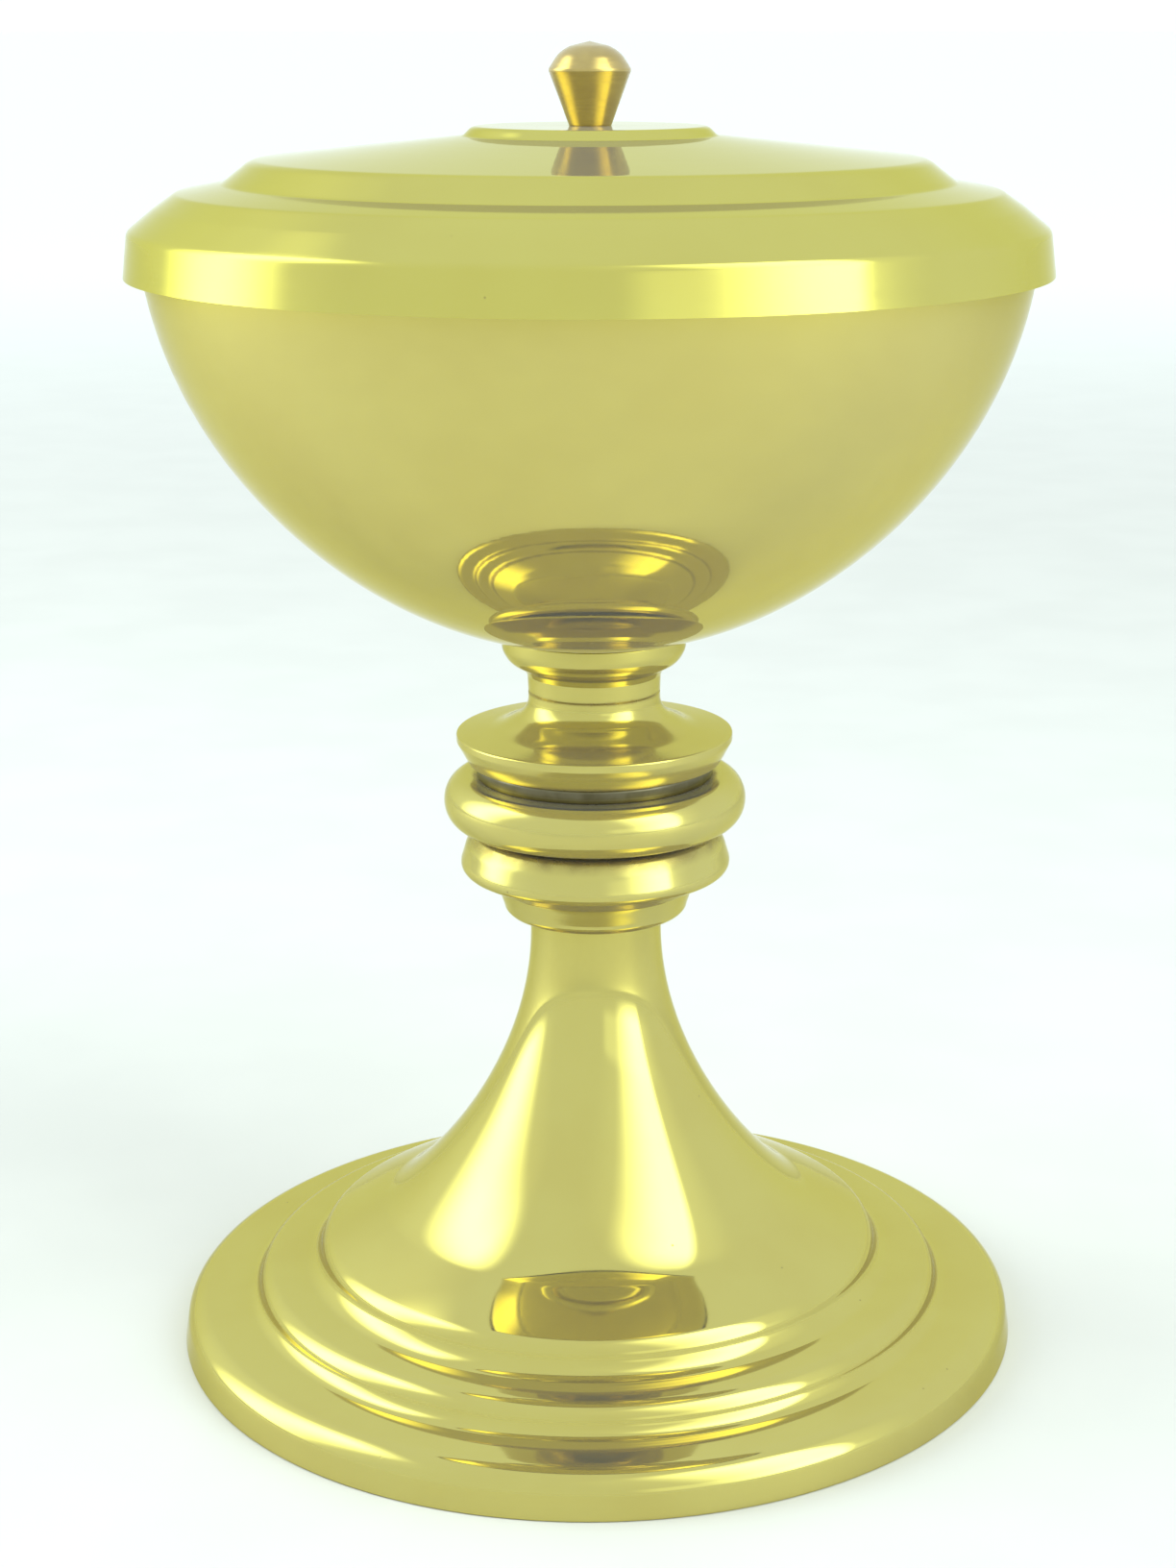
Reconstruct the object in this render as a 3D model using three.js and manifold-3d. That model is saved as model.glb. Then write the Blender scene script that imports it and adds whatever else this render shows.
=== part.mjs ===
// A ciborium: a footed brass cup with a lift-off lid.
// Every piece is spun or turned about the upright axis, and sizes are in millimetres.
import * as THREE from 'three';
import { mergeVertices } from 'three/addons/utils/BufferGeometryUtils.js';
import Module from 'manifold-3d';

const wasm = await Module();
wasm.setup();

// Clearances
const FIT_GAP = 0.3;

// Foot: a spun trumpet that runs out into a low cone, a raised ring, a brim and an upright rim
const FOOT_RADIUS = 63.9;
const FOOT_HEIGHT = 65.6;
const FOOT_WALL = 1.2;
const NECK_RADIUS = 9.8;
const NECK_STRAIGHT = 2;
const NECK_PULL = 23.5;
const CONE_START_RADIUS = 33;
const CONE_START_HEIGHT = 19.6;
const CONE_SLOPE = THREE.MathUtils.degToRad(26);
const CONE_PULL = 4.6;
const CONE_RADIUS = 42.4;
const CONE_ROUND = 2.6;
const CONE_STEP = 4;
const RING_RADIUS = 51.8;
const RING_ROUND = 4.2;
const RING_FALL = 0.4;
const RING_STEP = 3.9;
const STEP_DRAFT = 0.7;
const STEP_ROUND = 2.4;
const BRIM_FALL = 0.3;
const RIM_DRAFT = 1;
const RIM_ROUND = 3.6;
const HEM_WIDTH = 3;

// Lower bead ring, which stands on the neck of the foot
const BEAD_HEIGHT = 13.6;
const BEAD_TOP_RADIUS = 18.1;
const BEAD_TOP_ROUND = 1.4;
const BEAD_SIDE_RADIUS = 19.3;
const BEAD_SIDE_HEIGHT = 11.3;
const BEAD_SIDE_ROUND = 3;
const BEAD_BELLY_RADIUS = 20.1;
const BEAD_BELLY_HEIGHT = 8.7;
const BEAD_BELLY_ROUND = 3;
const BEAD_UNDER_RADIUS = 20;
const BEAD_UNDER_HEIGHT = 7.5;
const BEAD_UNDER_ROUND = 2;
const CUFF_TOP_RADIUS = 14.7;
const CUFF_TOP_HEIGHT = 4.8;
const CUFF_SIDE_RADIUS = 13.8;
const CUFF_SIDE_HEIGHT = 2.1;
const CUFF_SIDE_ROUND = 2.4;
const CUFF_FOOT_RADIUS = 13.5;
const CUFF_FOOT_HEIGHT = 0.8;
const CUFF_FOOT_ROUND = 1.4;
const SPIGOT_DEPTH = 3;

// Spacer rings, one on each side of the round ring
const LOWER_SPACER_RADIUS = 17.1;
const LOWER_SPACER_HEIGHT = 0.8;
const UPPER_SPACER_RADIUS = 17.5;
const UPPER_SPACER_HEIGHT = 2.2;
const SPACER_ROUND = 0.7;

// Round ring, the widest part of the knot
const KNOT_RADIUS = 22.4;
const KNOT_HEIGHT = 7.4;
const KNOT_BULGE = 3;

// Dish flange above the round ring
const FLANGE_HEIGHT = 10.5;
const FLANGE_RADIUS = 20.4;
const FLANGE_LIP_TOP = 4.3;
const FLANGE_LIP_BOTTOM = 3.2;
const FLANGE_LIP_ROUND = 0.3;
const FLANGE_FOOT_RADIUS = 18.7;
const FLANGE_DISH_RADIUS = 14.5;
const FLANGE_DISH_HEIGHT = 5;
const FLANGE_DISH_ROUND = 6;
const FLANGE_THROAT_RADIUS = 9.7;
const FLANGE_THROAT_HEIGHT = 7.6;
const FLANGE_THROAT_ROUND = 3.2;

// Collar under the bowl
const COLLAR_HEIGHT = 7.8;
const COLLAR_RADIUS = 13.5;
const COLLAR_EDGE_HEIGHT = 8.1;
const COLLAR_ROUND = 2.7;
const COLLAR_SIDE_HEIGHT = 6.4;
const COLLAR_UNDER_RADIUS = 12.6;
const COLLAR_UNDER_HEIGHT = 4.7;
const COLLAR_STEP_RADIUS = 10.3;
const COLLAR_STEP_HEIGHT = 3.4;
const COLLAR_NECK_HEIGHT = 2.5;
const COLLAR_NECK_RADIUS = 9.8;
const COLLAR_LAND = 2.3;

// Bowl: a spun cup with a small flat bottom
const BOWL_RIM_RADIUS = 63.1;
const BOWL_DEPTH = 58.6;
const BOWL_WALL = 1.2;
const BOWL_RIM_ROUND = 0.4;
const BOWL_FLAT_RADIUS = 7;
const BOWL_SIDE_PULL = 36.2;
const BOWL_SIDE_LEAN = THREE.MathUtils.degToRad(3.3);
const BOWL_FLOOR_PULL = 20.2;

// Tie rod, the boss it screws into, and the nut and washer that pull it down
const ROD_RADIUS = 3;
const ROD_CHAMFER = 0.6;
const ROD_TAIL = 3;
const THREAD_DEPTH = 5.2;
const BOSS_RADIUS = 5;
const BOSS_HEIGHT = 7;
const CLAMP_RADIUS = 13;
const CLAMP_THICKNESS = 1.6;
const NUT_ACROSS_FLATS = 10;
const NUT_HEIGHT = 5;

// Lid: a spun cover whose skirt hangs round the rim of the bowl, with its steps set in from that skirt
const LID_OVERHANG = 2;
const LID_WALL = 0.9;
const SKIRT_HEIGHT = 6.1;
const SKIRT_DRAFT = 0.75;
const SKIRT_ROUND = 1.3;
const HIP_INSET = 4.6;
const HIP_RISE = 3.1;
const HIP_ROUND = 1.3;
const LEDGE_INSET = 7.5;
const LEDGE_RISE = 2;
const LEDGE_ROUND = 1.6;
const CROWN_FOOT_INSET = 13.9;
const CROWN_FOOT_RISE = 1.2;
const CROWN_FOOT_ROUND = 1.3;
const CROWN_INSET = 17.9;
const CROWN_RISE = 3.1;
const CROWN_ROUND = 3;
const CAP_FOOT_RADIUS = 17.8;
const CAP_FOOT_RISE = 3.1;
const CAP_FOOT_ROUND = 1;
const CAP_RADIUS = 16.5;
const CAP_RISE = 1.3;
const CAP_ROUND = 1.4;

// Knob, with the screw and washer that hold it to the lid
const KNOB_HEIGHT = 11.4;
const KNOB_BASE_RADIUS = 3;
const KNOB_RADIUS = 5.8;
const KNOB_SHOULDER = 7.6;
const KNOB_SHOULDER_ROUND = 0.6;
const KNOB_CROWN_RADIUS = 3.9;
const KNOB_CROWN_DROP = 0.9;
const KNOB_CROWN_ROUND = 4;
const SCREW_RADIUS = 1.5;
const SCREW_GRIP = 5;
const SCREW_HEAD_RADIUS = 2.8;
const SCREW_HEAD_HEIGHT = 2;
const SCREW_HEAD_ROUND = 0.4;
const SLOT_WIDTH = 0.8;
const SLOT_DEPTH = 1;
const WASHER_RADIUS = 4.5;
const WASHER_THICKNESS = 0.8;

// Facets round the axis and along the curves
const WIDE_FACETS = 40;
const RING_FACETS = 32;
const SMALL_FACETS = 16;
const CURVE_STEPS = 9;
const ARC_STEP = THREE.MathUtils.degToRad(40);
const LEAST_ROUND = 1;
const ARC_SHARE = 0.98;

// Finishes
const PALE_BRASS = { color: 0xc9c765, roughness: 0.16, metalness: 1 };
const SATIN_BRASS = { color: 0xcbc56b, roughness: 0.3, metalness: 1 };
const DEEP_BRASS = { color: 0xc0a13f, roughness: 0.28, metalness: 1 };
const RAW_BRASS = { color: 0xb09a4e, roughness: 0.45, metalness: 1 };
const DARK_RING = { color: 0x45463a, roughness: 0.5, metalness: 0.6 };
const STEEL = { color: 0x9a9c9c, roughness: 0.4, metalness: 1 };

// Heights of the stack, from the floor up
const LOWER_SPACER_Z = FOOT_HEIGHT + BEAD_HEIGHT;
const KNOT_Z = LOWER_SPACER_Z + LOWER_SPACER_HEIGHT;
const UPPER_SPACER_Z = KNOT_Z + KNOT_HEIGHT;
const FLANGE_Z = UPPER_SPACER_Z + UPPER_SPACER_HEIGHT;
const COLLAR_Z = FLANGE_Z + FLANGE_HEIGHT;
const BOWL_Z = COLLAR_Z + COLLAR_HEIGHT;

// Bores that the rod, the boss and the screw pass through
const ROD_BORE = ROD_RADIUS + FIT_GAP;
const BOSS_BORE = BOSS_RADIUS + FIT_GAP;
const SCREW_BORE = SCREW_RADIUS + FIT_GAP;

// How far from each corner its arc begins, with less for each where two arcs share a short run
function arcReaches(points, corners) {
  const wanted = corners.map(([, , rounding = 0], index) => {
    if (rounding === 0) {
      return 0;
    }
    const toBefore = points[index - 1].clone().sub(points[index]);
    const toAfter = points[index + 1].clone().sub(points[index]);
    return rounding / Math.tan(toBefore.angleTo(toAfter) / 2);
  });
  return wanted.map((reach, index) => {
    const fits = [index - 1, index + 1]
      .filter((neighbour) => reach > 0 && neighbour >= 0 && neighbour < points.length)
      .map((neighbour) => {
        const run = points[index].distanceTo(points[neighbour]) * ARC_SHARE;
        return run / (reach + wanted[neighbour]);
      });
    return reach * Math.min(1, ...fits);
  });
}

// Corners are [radius, height, rounding], and a rounding above zero turns the corner into an arc
function roundedOutline(corners) {
  const points = corners.map(([radius, height]) => new THREE.Vector2(radius, height));
  const reaches = arcReaches(points, corners);
  return points.flatMap((corner, index) => {
    const reach = reaches[index];
    if (reach === 0) {
      return [corner];
    }
    const toBefore = points[index - 1].clone().sub(corner);
    const toAfter = points[index + 1].clone().sub(corner);
    const halfAngle = toBefore.angleTo(toAfter) / 2;
    toBefore.normalize();
    toAfter.normalize();
    const bisector = toBefore.clone().add(toAfter).normalize();
    const centre = corner.clone().addScaledVector(bisector, reach / Math.cos(halfAngle));
    const start = corner.clone().addScaledVector(toBefore, reach);
    const turn = Math.PI - 2 * halfAngle;
    const side = Math.sign(toAfter.cross(toBefore));
    const steps = Math.max(2, Math.ceil(turn / ARC_STEP));
    return Array.from({ length: steps + 1 }, (_, step) =>
      start.clone().rotateAround(centre, (side * turn * step) / steps),
    );
  });
}

// The same corners moved by a wall to the right of the way they run
function wallInside(corners, wall) {
  const points = corners.map(([radius, height]) => new THREE.Vector2(radius, height));
  return points.map((point, index) => {
    const before = points[index - 1] ?? point;
    const after = points[index + 1] ?? point;
    const runIn = point.clone().sub(before);
    const runOut = after.clone().sub(point);
    const normals = [runIn, runOut]
      .filter((run) => run.length() > 0)
      .map((run) => new THREE.Vector2(run.y, -run.x).normalize());
    const mean = normals[0].clone().add(normals.at(-1)).normalize();
    const moved = point.clone().addScaledVector(mean, wall / mean.dot(normals[0]));
    const rounding = corners[index][2] ?? 0;
    const wider = Math.sign(runOut.cross(runIn)) * -wall;
    const rounded = rounding + wider;
    return [moved.x, moved.y, rounding > 0 && rounded > LEAST_ROUND ? rounded : 0];
  });
}

// Points of a curve as plain corners
function curveCorners(curve) {
  return curve.getPoints(CURVE_STEPS).map(({ x, y }) => [x, y]);
}

// Height on a chain of corners where it first passes a radius
function heightAtRadius(corners, radius) {
  const beyond = corners.map(([here]) => here >= radius);
  const index = beyond.findIndex((state, at) => at > 0 && state !== beyond[at - 1]);
  const [radiusBefore, heightBefore] = corners[index - 1];
  const [radiusAfter, heightAfter] = corners[index];
  const share = (radius - radiusBefore) / (radiusAfter - radiusBefore);
  return THREE.MathUtils.lerp(heightBefore, heightAfter, share);
}

// A solid of revolution about the upright axis from a loop of corners
function turned(corners, facets) {
  const outline = roundedOutline(corners);
  if (THREE.ShapeUtils.area(outline) < 0) {
    outline.reverse();
  }
  return new THREE.LatheGeometry(outline, facets).rotateX(Math.PI / 2);
}

// A ring with a round bore, from the corners of its outside, bottom to top
function ringSolid(outside, bore, facets) {
  const bottom = outside[0][1];
  const top = outside.at(-1)[1];
  return turned([[bore, bottom], ...outside, [bore, top], [bore, bottom]], facets);
}

// Cut one solid out of another
function cut(geometry, tool) {
  const [body, cutter] = [geometry, tool].map((source) => {
    const bare = source.clone();
    bare.deleteAttribute('normal');
    bare.deleteAttribute('uv');
    const merged = mergeVertices(bare);
    return new wasm.Manifold(new wasm.Mesh({
      numProp: 3,
      vertProperties: new Float32Array(merged.attributes.position.array),
      triVerts: new Uint32Array(merged.index.array),
    }));
  });
  const mesh = body.subtract(cutter).getMesh();
  const result = new THREE.BufferGeometry();
  result.setAttribute('position', new THREE.BufferAttribute(mesh.vertProperties, 3));
  result.setIndex(new THREE.BufferAttribute(mesh.triVerts, 1));
  return result;
}

// A named piece at its height on the axis
function piece(name, geometry, finish, height = 0) {
  const mesh = new THREE.Mesh(geometry, new THREE.MeshStandardMaterial(finish));
  mesh.name = name;
  mesh.position.z = height;
  return mesh;
}

// Outside of the foot, from the neck down to the floor
function footOutside() {
  const coneStart = new THREE.Vector2(CONE_START_RADIUS, CONE_START_HEIGHT);
  const upTheCone = new THREE.Vector2(-Math.cos(CONE_SLOPE), Math.sin(CONE_SLOPE));
  const neckLow = FOOT_HEIGHT - NECK_STRAIGHT;
  const trumpet = new THREE.CubicBezierCurve(
    new THREE.Vector2(NECK_RADIUS, neckLow),
    new THREE.Vector2(NECK_RADIUS, neckLow - NECK_PULL),
    coneStart.clone().addScaledVector(upTheCone, CONE_PULL),
    coneStart,
  );
  const coneEdge = CONE_START_HEIGHT - (CONE_RADIUS - CONE_START_RADIUS) * Math.tan(CONE_SLOPE);
  const ringFoot = coneEdge - CONE_STEP;
  const ringEdge = ringFoot - RING_FALL;
  const brimFoot = ringEdge - RING_STEP;
  const brimEdge = brimFoot - BRIM_FALL;
  return [
    [NECK_RADIUS, FOOT_HEIGHT],
    ...curveCorners(trumpet),
    [CONE_RADIUS, coneEdge, CONE_ROUND],
    [CONE_RADIUS + STEP_DRAFT, ringFoot, STEP_ROUND],
    [RING_RADIUS, ringEdge, RING_ROUND],
    [RING_RADIUS + STEP_DRAFT, brimFoot, STEP_ROUND],
    [FOOT_RADIUS - RIM_DRAFT, brimEdge, RIM_ROUND],
    [FOOT_RADIUS, 0],
  ];
}

// Inside of the foot, from the neck down to the turned-in hem of the rim
function footInside() {
  const inside = wallInside(footOutside(), FOOT_WALL);
  inside[0][1] = FOOT_HEIGHT;
  inside.at(-1)[1] = FOOT_WALL;
  return inside;
}

// Outside of the bowl, from the axis at the bottom up to the rim
function bowlOutside() {
  const rim = new THREE.Vector2(BOWL_RIM_RADIUS, BOWL_DEPTH);
  const lean = new THREE.Vector2(Math.sin(BOWL_SIDE_LEAN), Math.cos(BOWL_SIDE_LEAN));
  const side = new THREE.CubicBezierCurve(
    new THREE.Vector2(BOWL_FLAT_RADIUS, 0),
    new THREE.Vector2(BOWL_FLAT_RADIUS + BOWL_FLOOR_PULL, 0),
    rim.clone().addScaledVector(lean, -BOWL_SIDE_PULL),
    rim,
  );
  return [[0, 0], ...curveCorners(side)];
}

// Outside of the lid, from the edge of the skirt up to the flat of the cap
function lidOutside() {
  const edge = BOWL_RIM_RADIUS + LID_OVERHANG;
  const steps = [
    [edge, 0],
    [edge - SKIRT_DRAFT, SKIRT_HEIGHT, SKIRT_ROUND],
    [edge - HIP_INSET, HIP_RISE, HIP_ROUND],
    [edge - LEDGE_INSET, LEDGE_RISE, LEDGE_ROUND],
    [edge - CROWN_FOOT_INSET, CROWN_FOOT_RISE, CROWN_FOOT_ROUND],
    [edge - CROWN_INSET, CROWN_RISE, CROWN_ROUND],
    [CAP_FOOT_RADIUS, CAP_FOOT_RISE, CAP_FOOT_ROUND],
    [CAP_RADIUS, CAP_RISE, CAP_ROUND],
    [SCREW_BORE, 0],
  ];
  let height = 0;
  return steps.map(([radius, rise, rounding]) => {
    height += rise;
    return [radius, height, rounding];
  });
}

// Inside of the lid, the same run a wall deeper
function lidInside() {
  const outside = lidOutside();
  const inside = wallInside(outside.toReversed(), LID_WALL).toReversed();
  inside[0][1] = 0;
  inside.at(-1)[0] = SCREW_BORE;
  return inside;
}

// Where the lid comes to rest: its inside shoulder lies on the edge of the bowl's rim
function lidRestHeight() {
  const inside = lidInside();
  const shoulder = inside.slice(1, 3);
  const slope = Math.atan2(shoulder[1][1] - shoulder[0][1], shoulder[0][0] - shoulder[1][0]);
  const seat = heightAtRadius(shoulder, BOWL_RIM_RADIUS) - FIT_GAP / Math.cos(slope);
  return BOWL_Z + BOWL_DEPTH - seat;
}

function foot() {
  const outside = footOutside();
  const inside = footInside();
  const hem = FOOT_RADIUS - HEM_WIDTH;
  const loop = [...outside, [hem, 0], [hem, FOOT_WALL], ...inside.toReversed(), outside[0]];
  return piece('foot', turned(loop, WIDE_FACETS), PALE_BRASS);
}

function beadRing() {
  const spigot = footInside()[0][0] - FIT_GAP;
  const outside = [
    [spigot, -SPIGOT_DEPTH],
    [spigot, 0],
    [NECK_RADIUS, 0],
    [CUFF_FOOT_RADIUS, CUFF_FOOT_HEIGHT, CUFF_FOOT_ROUND],
    [CUFF_SIDE_RADIUS, CUFF_SIDE_HEIGHT, CUFF_SIDE_ROUND],
    [CUFF_TOP_RADIUS, CUFF_TOP_HEIGHT],
    [BEAD_UNDER_RADIUS, BEAD_UNDER_HEIGHT, BEAD_UNDER_ROUND],
    [BEAD_BELLY_RADIUS, BEAD_BELLY_HEIGHT, BEAD_BELLY_ROUND],
    [BEAD_SIDE_RADIUS, BEAD_SIDE_HEIGHT, BEAD_SIDE_ROUND],
    [BEAD_TOP_RADIUS, BEAD_HEIGHT, BEAD_TOP_ROUND],
    [ROD_BORE, BEAD_HEIGHT],
  ];
  const loop = [[ROD_BORE, -SPIGOT_DEPTH], ...outside, [ROD_BORE, -SPIGOT_DEPTH]];
  return piece('lower_bead_ring', turned(loop, RING_FACETS), PALE_BRASS, FOOT_HEIGHT);
}

function spacer(name, radius, height, level) {
  const rounding = Math.min(SPACER_ROUND, height / 2);
  const outside = [
    [radius, 0, rounding],
    [radius, height, rounding],
    [ROD_BORE, height],
  ];
  return piece(name, turned([[ROD_BORE, 0], ...outside, [ROD_BORE, 0]], RING_FACETS), DARK_RING, level);
}

function knotRing() {
  const middle = KNOT_HEIGHT / 2;
  const bulge = new THREE.EllipseCurve(
    KNOT_RADIUS - KNOT_BULGE,
    middle,
    KNOT_BULGE,
    middle,
    -Math.PI / 2,
    Math.PI / 2,
  );
  const ring = ringSolid(curveCorners(bulge), ROD_BORE, RING_FACETS);
  return piece('round_knot_ring', ring, PALE_BRASS, KNOT_Z);
}

function flange() {
  const outside = [
    [FLANGE_FOOT_RADIUS, 0],
    [FLANGE_RADIUS, FLANGE_LIP_BOTTOM, FLANGE_LIP_ROUND],
    [FLANGE_RADIUS, FLANGE_LIP_TOP, FLANGE_LIP_ROUND],
    [FLANGE_DISH_RADIUS, FLANGE_DISH_HEIGHT, FLANGE_DISH_ROUND],
    [FLANGE_THROAT_RADIUS, FLANGE_THROAT_HEIGHT, FLANGE_THROAT_ROUND],
    [FLANGE_THROAT_RADIUS, FLANGE_HEIGHT],
  ];
  return piece('dish_flange', ringSolid(outside, ROD_BORE, RING_FACETS), PALE_BRASS, FLANGE_Z);
}

function collar() {
  const land = BOSS_BORE + COLLAR_LAND;
  const outside = [
    [FLANGE_THROAT_RADIUS, 0],
    [COLLAR_NECK_RADIUS, COLLAR_NECK_HEIGHT],
    [COLLAR_STEP_RADIUS, COLLAR_STEP_HEIGHT],
    [COLLAR_UNDER_RADIUS, COLLAR_UNDER_HEIGHT, COLLAR_ROUND],
    [COLLAR_RADIUS, COLLAR_SIDE_HEIGHT],
    [COLLAR_RADIUS, COLLAR_EDGE_HEIGHT],
    [land, COLLAR_HEIGHT],
  ];
  return piece('bowl_collar', ringSolid(outside, BOSS_BORE, RING_FACETS), PALE_BRASS, COLLAR_Z);
}

function bowl() {
  const outside = bowlOutside();
  const inside = wallInside(outside.toReversed(), BOWL_WALL).toReversed();
  const innerRim = BOWL_RIM_RADIUS - BOWL_WALL;
  inside[0][0] = 0;
  const loop = [
    ...outside.slice(0, -1),
    [BOWL_RIM_RADIUS, BOWL_DEPTH, BOWL_RIM_ROUND],
    [innerRim, BOWL_DEPTH, BOWL_RIM_ROUND],
    ...inside.slice(0, -1).toReversed(),
  ];
  return piece('bowl', turned(loop, WIDE_FACETS), SATIN_BRASS, BOWL_Z);
}

function boss() {
  const loop = [
    [0, 0],
    [BOSS_RADIUS, 0],
    [BOSS_RADIUS, -BOSS_HEIGHT],
    [ROD_BORE, -BOSS_HEIGHT],
    [ROD_BORE, THREAD_DEPTH - BOSS_HEIGHT],
    [0, THREAD_DEPTH - BOSS_HEIGHT],
  ];
  return piece('bowl_boss', turned(loop, SMALL_FACETS), RAW_BRASS, BOWL_Z);
}

// The clamp washer lies as high in the trumpet as its radius lets it
function clampHeight() {
  const inside = footInside();
  return heightAtRadius(inside, CLAMP_RADIUS + FIT_GAP) - CLAMP_THICKNESS;
}

function clampWasher() {
  const outside = [
    [CLAMP_RADIUS, 0],
    [CLAMP_RADIUS, CLAMP_THICKNESS],
  ];
  const disc = ringSolid(outside, ROD_BORE, RING_FACETS);
  return piece('clamp_washer', disc, RAW_BRASS, clampHeight());
}

function clampNut() {
  const corner = NUT_ACROSS_FLATS / Math.sqrt(3);
  const corners = Array.from({ length: 6 }, (_, side) => {
    const angle = (side * Math.PI) / 3;
    return new THREE.Vector2(corner * Math.cos(angle), corner * Math.sin(angle));
  });
  const hexagon = new THREE.Shape(corners);
  hexagon.holes.push(new THREE.Path().absarc(0, 0, ROD_BORE, 0, 2 * Math.PI));
  const solid = new THREE.ExtrudeGeometry(hexagon, {
    depth: NUT_HEIGHT,
    bevelEnabled: false,
    curveSegments: SMALL_FACETS,
  });
  return piece('clamp_nut', solid, STEEL, clampHeight() - NUT_HEIGHT);
}

function tieRod() {
  const low = clampHeight() - NUT_HEIGHT - ROD_TAIL;
  const length = BOWL_Z - BOSS_HEIGHT + THREAD_DEPTH - FIT_GAP - low;
  const loop = [
    [0, 0],
    [ROD_RADIUS - ROD_CHAMFER, 0],
    [ROD_RADIUS, ROD_CHAMFER],
    [ROD_RADIUS, length - ROD_CHAMFER],
    [ROD_RADIUS - ROD_CHAMFER, length],
    [0, length],
  ];
  return piece('tie_rod', turned(loop, SMALL_FACETS), STEEL, low);
}

function lidCover() {
  const outside = lidOutside();
  const inside = lidInside();
  const loop = [...outside, ...inside.toReversed(), outside[0]];
  return piece('lid_cover', turned(loop, WIDE_FACETS), SATIN_BRASS);
}

function knob() {
  const hole = SCREW_GRIP + FIT_GAP;
  const loop = [
    [0, hole],
    [SCREW_BORE, hole],
    [SCREW_BORE, 0],
    [KNOB_BASE_RADIUS, 0],
    [KNOB_RADIUS, KNOB_SHOULDER, KNOB_SHOULDER_ROUND],
    [KNOB_CROWN_RADIUS, KNOB_HEIGHT - KNOB_CROWN_DROP, KNOB_CROWN_ROUND],
    [0, KNOB_HEIGHT],
  ];
  return piece('lid_knob', turned(loop, RING_FACETS), DEEP_BRASS, lidOutside().at(-1)[1]);
}

function knobWasher() {
  const outside = [
    [WASHER_RADIUS, -WASHER_THICKNESS],
    [WASHER_RADIUS, 0],
  ];
  const disc = ringSolid(outside, SCREW_BORE, SMALL_FACETS);
  return piece('knob_washer', disc, RAW_BRASS, lidInside().at(-1)[1]);
}

function knobScrew() {
  const seat = lidInside().at(-1)[1] - WASHER_THICKNESS;
  const tip = lidOutside().at(-1)[1] + SCREW_GRIP - seat;
  const loop = [
    [0, -SCREW_HEAD_HEIGHT],
    [SCREW_HEAD_RADIUS, -SCREW_HEAD_HEIGHT, SCREW_HEAD_ROUND],
    [SCREW_HEAD_RADIUS, 0],
    [SCREW_RADIUS, 0],
    [SCREW_RADIUS, tip],
    [0, tip],
  ];
  const slot = new THREE.BoxGeometry(2 * SCREW_HEAD_RADIUS + SLOT_WIDTH, SLOT_WIDTH, 2 * SLOT_DEPTH);
  slot.translate(0, 0, -SCREW_HEAD_HEIGHT);
  return piece('knob_screw', cut(turned(loop, SMALL_FACETS), slot), STEEL, seat);
}

// The cup with its foot, and the lid as a group of its own that lifts away
const stand = new THREE.Group();
stand.add(
  foot(),
  beadRing(),
  spacer('lower_spacer', LOWER_SPACER_RADIUS, LOWER_SPACER_HEIGHT, LOWER_SPACER_Z),
  knotRing(),
  spacer('upper_spacer', UPPER_SPACER_RADIUS, UPPER_SPACER_HEIGHT, UPPER_SPACER_Z),
  flange(),
  collar(),
  bowl(),
  boss(),
  tieRod(),
  clampWasher(),
  clampNut(),
);

const lid = new THREE.Group();
lid.position.z = lidRestHeight();
lid.add(lidCover(), knob(), knobWasher(), knobScrew());

const ciborium = new THREE.Group();
ciborium.add(stand, lid);

export default ciborium;
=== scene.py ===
# %% [markdown]
# # A lidded brass cup, spun and turned
#
# The object is a ciborium: a footed brass cup with a stepped lid that lifts off.
# Everything on it was made on a lathe. The foot, the bowl and the lid are thin brass
# sheet that was spun over a form, and the rings of the stem and the knob are turned
# from bar. A lathe piece is an outline that goes round an axis, so in this lesson
# each piece starts as one vertex, is extruded along its outline, gets its corners
# rounded with a vertex bevel and is then spun round the upright axis.

# %% Load the frame
import math

import bpy
from mathutils import Matrix, Vector


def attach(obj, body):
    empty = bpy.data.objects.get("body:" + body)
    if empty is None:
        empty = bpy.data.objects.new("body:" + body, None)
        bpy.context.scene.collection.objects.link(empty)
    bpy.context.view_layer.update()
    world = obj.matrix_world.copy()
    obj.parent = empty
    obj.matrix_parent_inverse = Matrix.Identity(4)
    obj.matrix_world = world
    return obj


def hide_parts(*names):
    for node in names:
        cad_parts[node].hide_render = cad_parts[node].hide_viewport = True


MM = 0.001
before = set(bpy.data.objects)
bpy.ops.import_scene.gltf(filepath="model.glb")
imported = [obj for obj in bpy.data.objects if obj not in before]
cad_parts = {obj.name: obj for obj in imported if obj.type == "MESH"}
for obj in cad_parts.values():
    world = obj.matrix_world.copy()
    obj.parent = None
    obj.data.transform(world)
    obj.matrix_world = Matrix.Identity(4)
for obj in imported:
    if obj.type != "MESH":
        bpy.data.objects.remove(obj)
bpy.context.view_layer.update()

# %% [markdown]
# ## Drawing an outline
#
# A lathe piece could also start as a cylinder that is scaled ring by ring, but then its
# wall, its bore and its rim are three jobs. An outline holds them all. By hand, it is
# drawn by extruding a single vertex again and again, and a plane whose four vertices are
# merged gives that first vertex. Outlines are lists of corners with a radius, a height
# and a rounding in millimetres, because that is how a turner reads a drawing.

# %% Draw an outline from one vertex


def place_of(corner):
    radius, height, *_ = corner
    return Vector((radius * MM, 0, height * MM))


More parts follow.
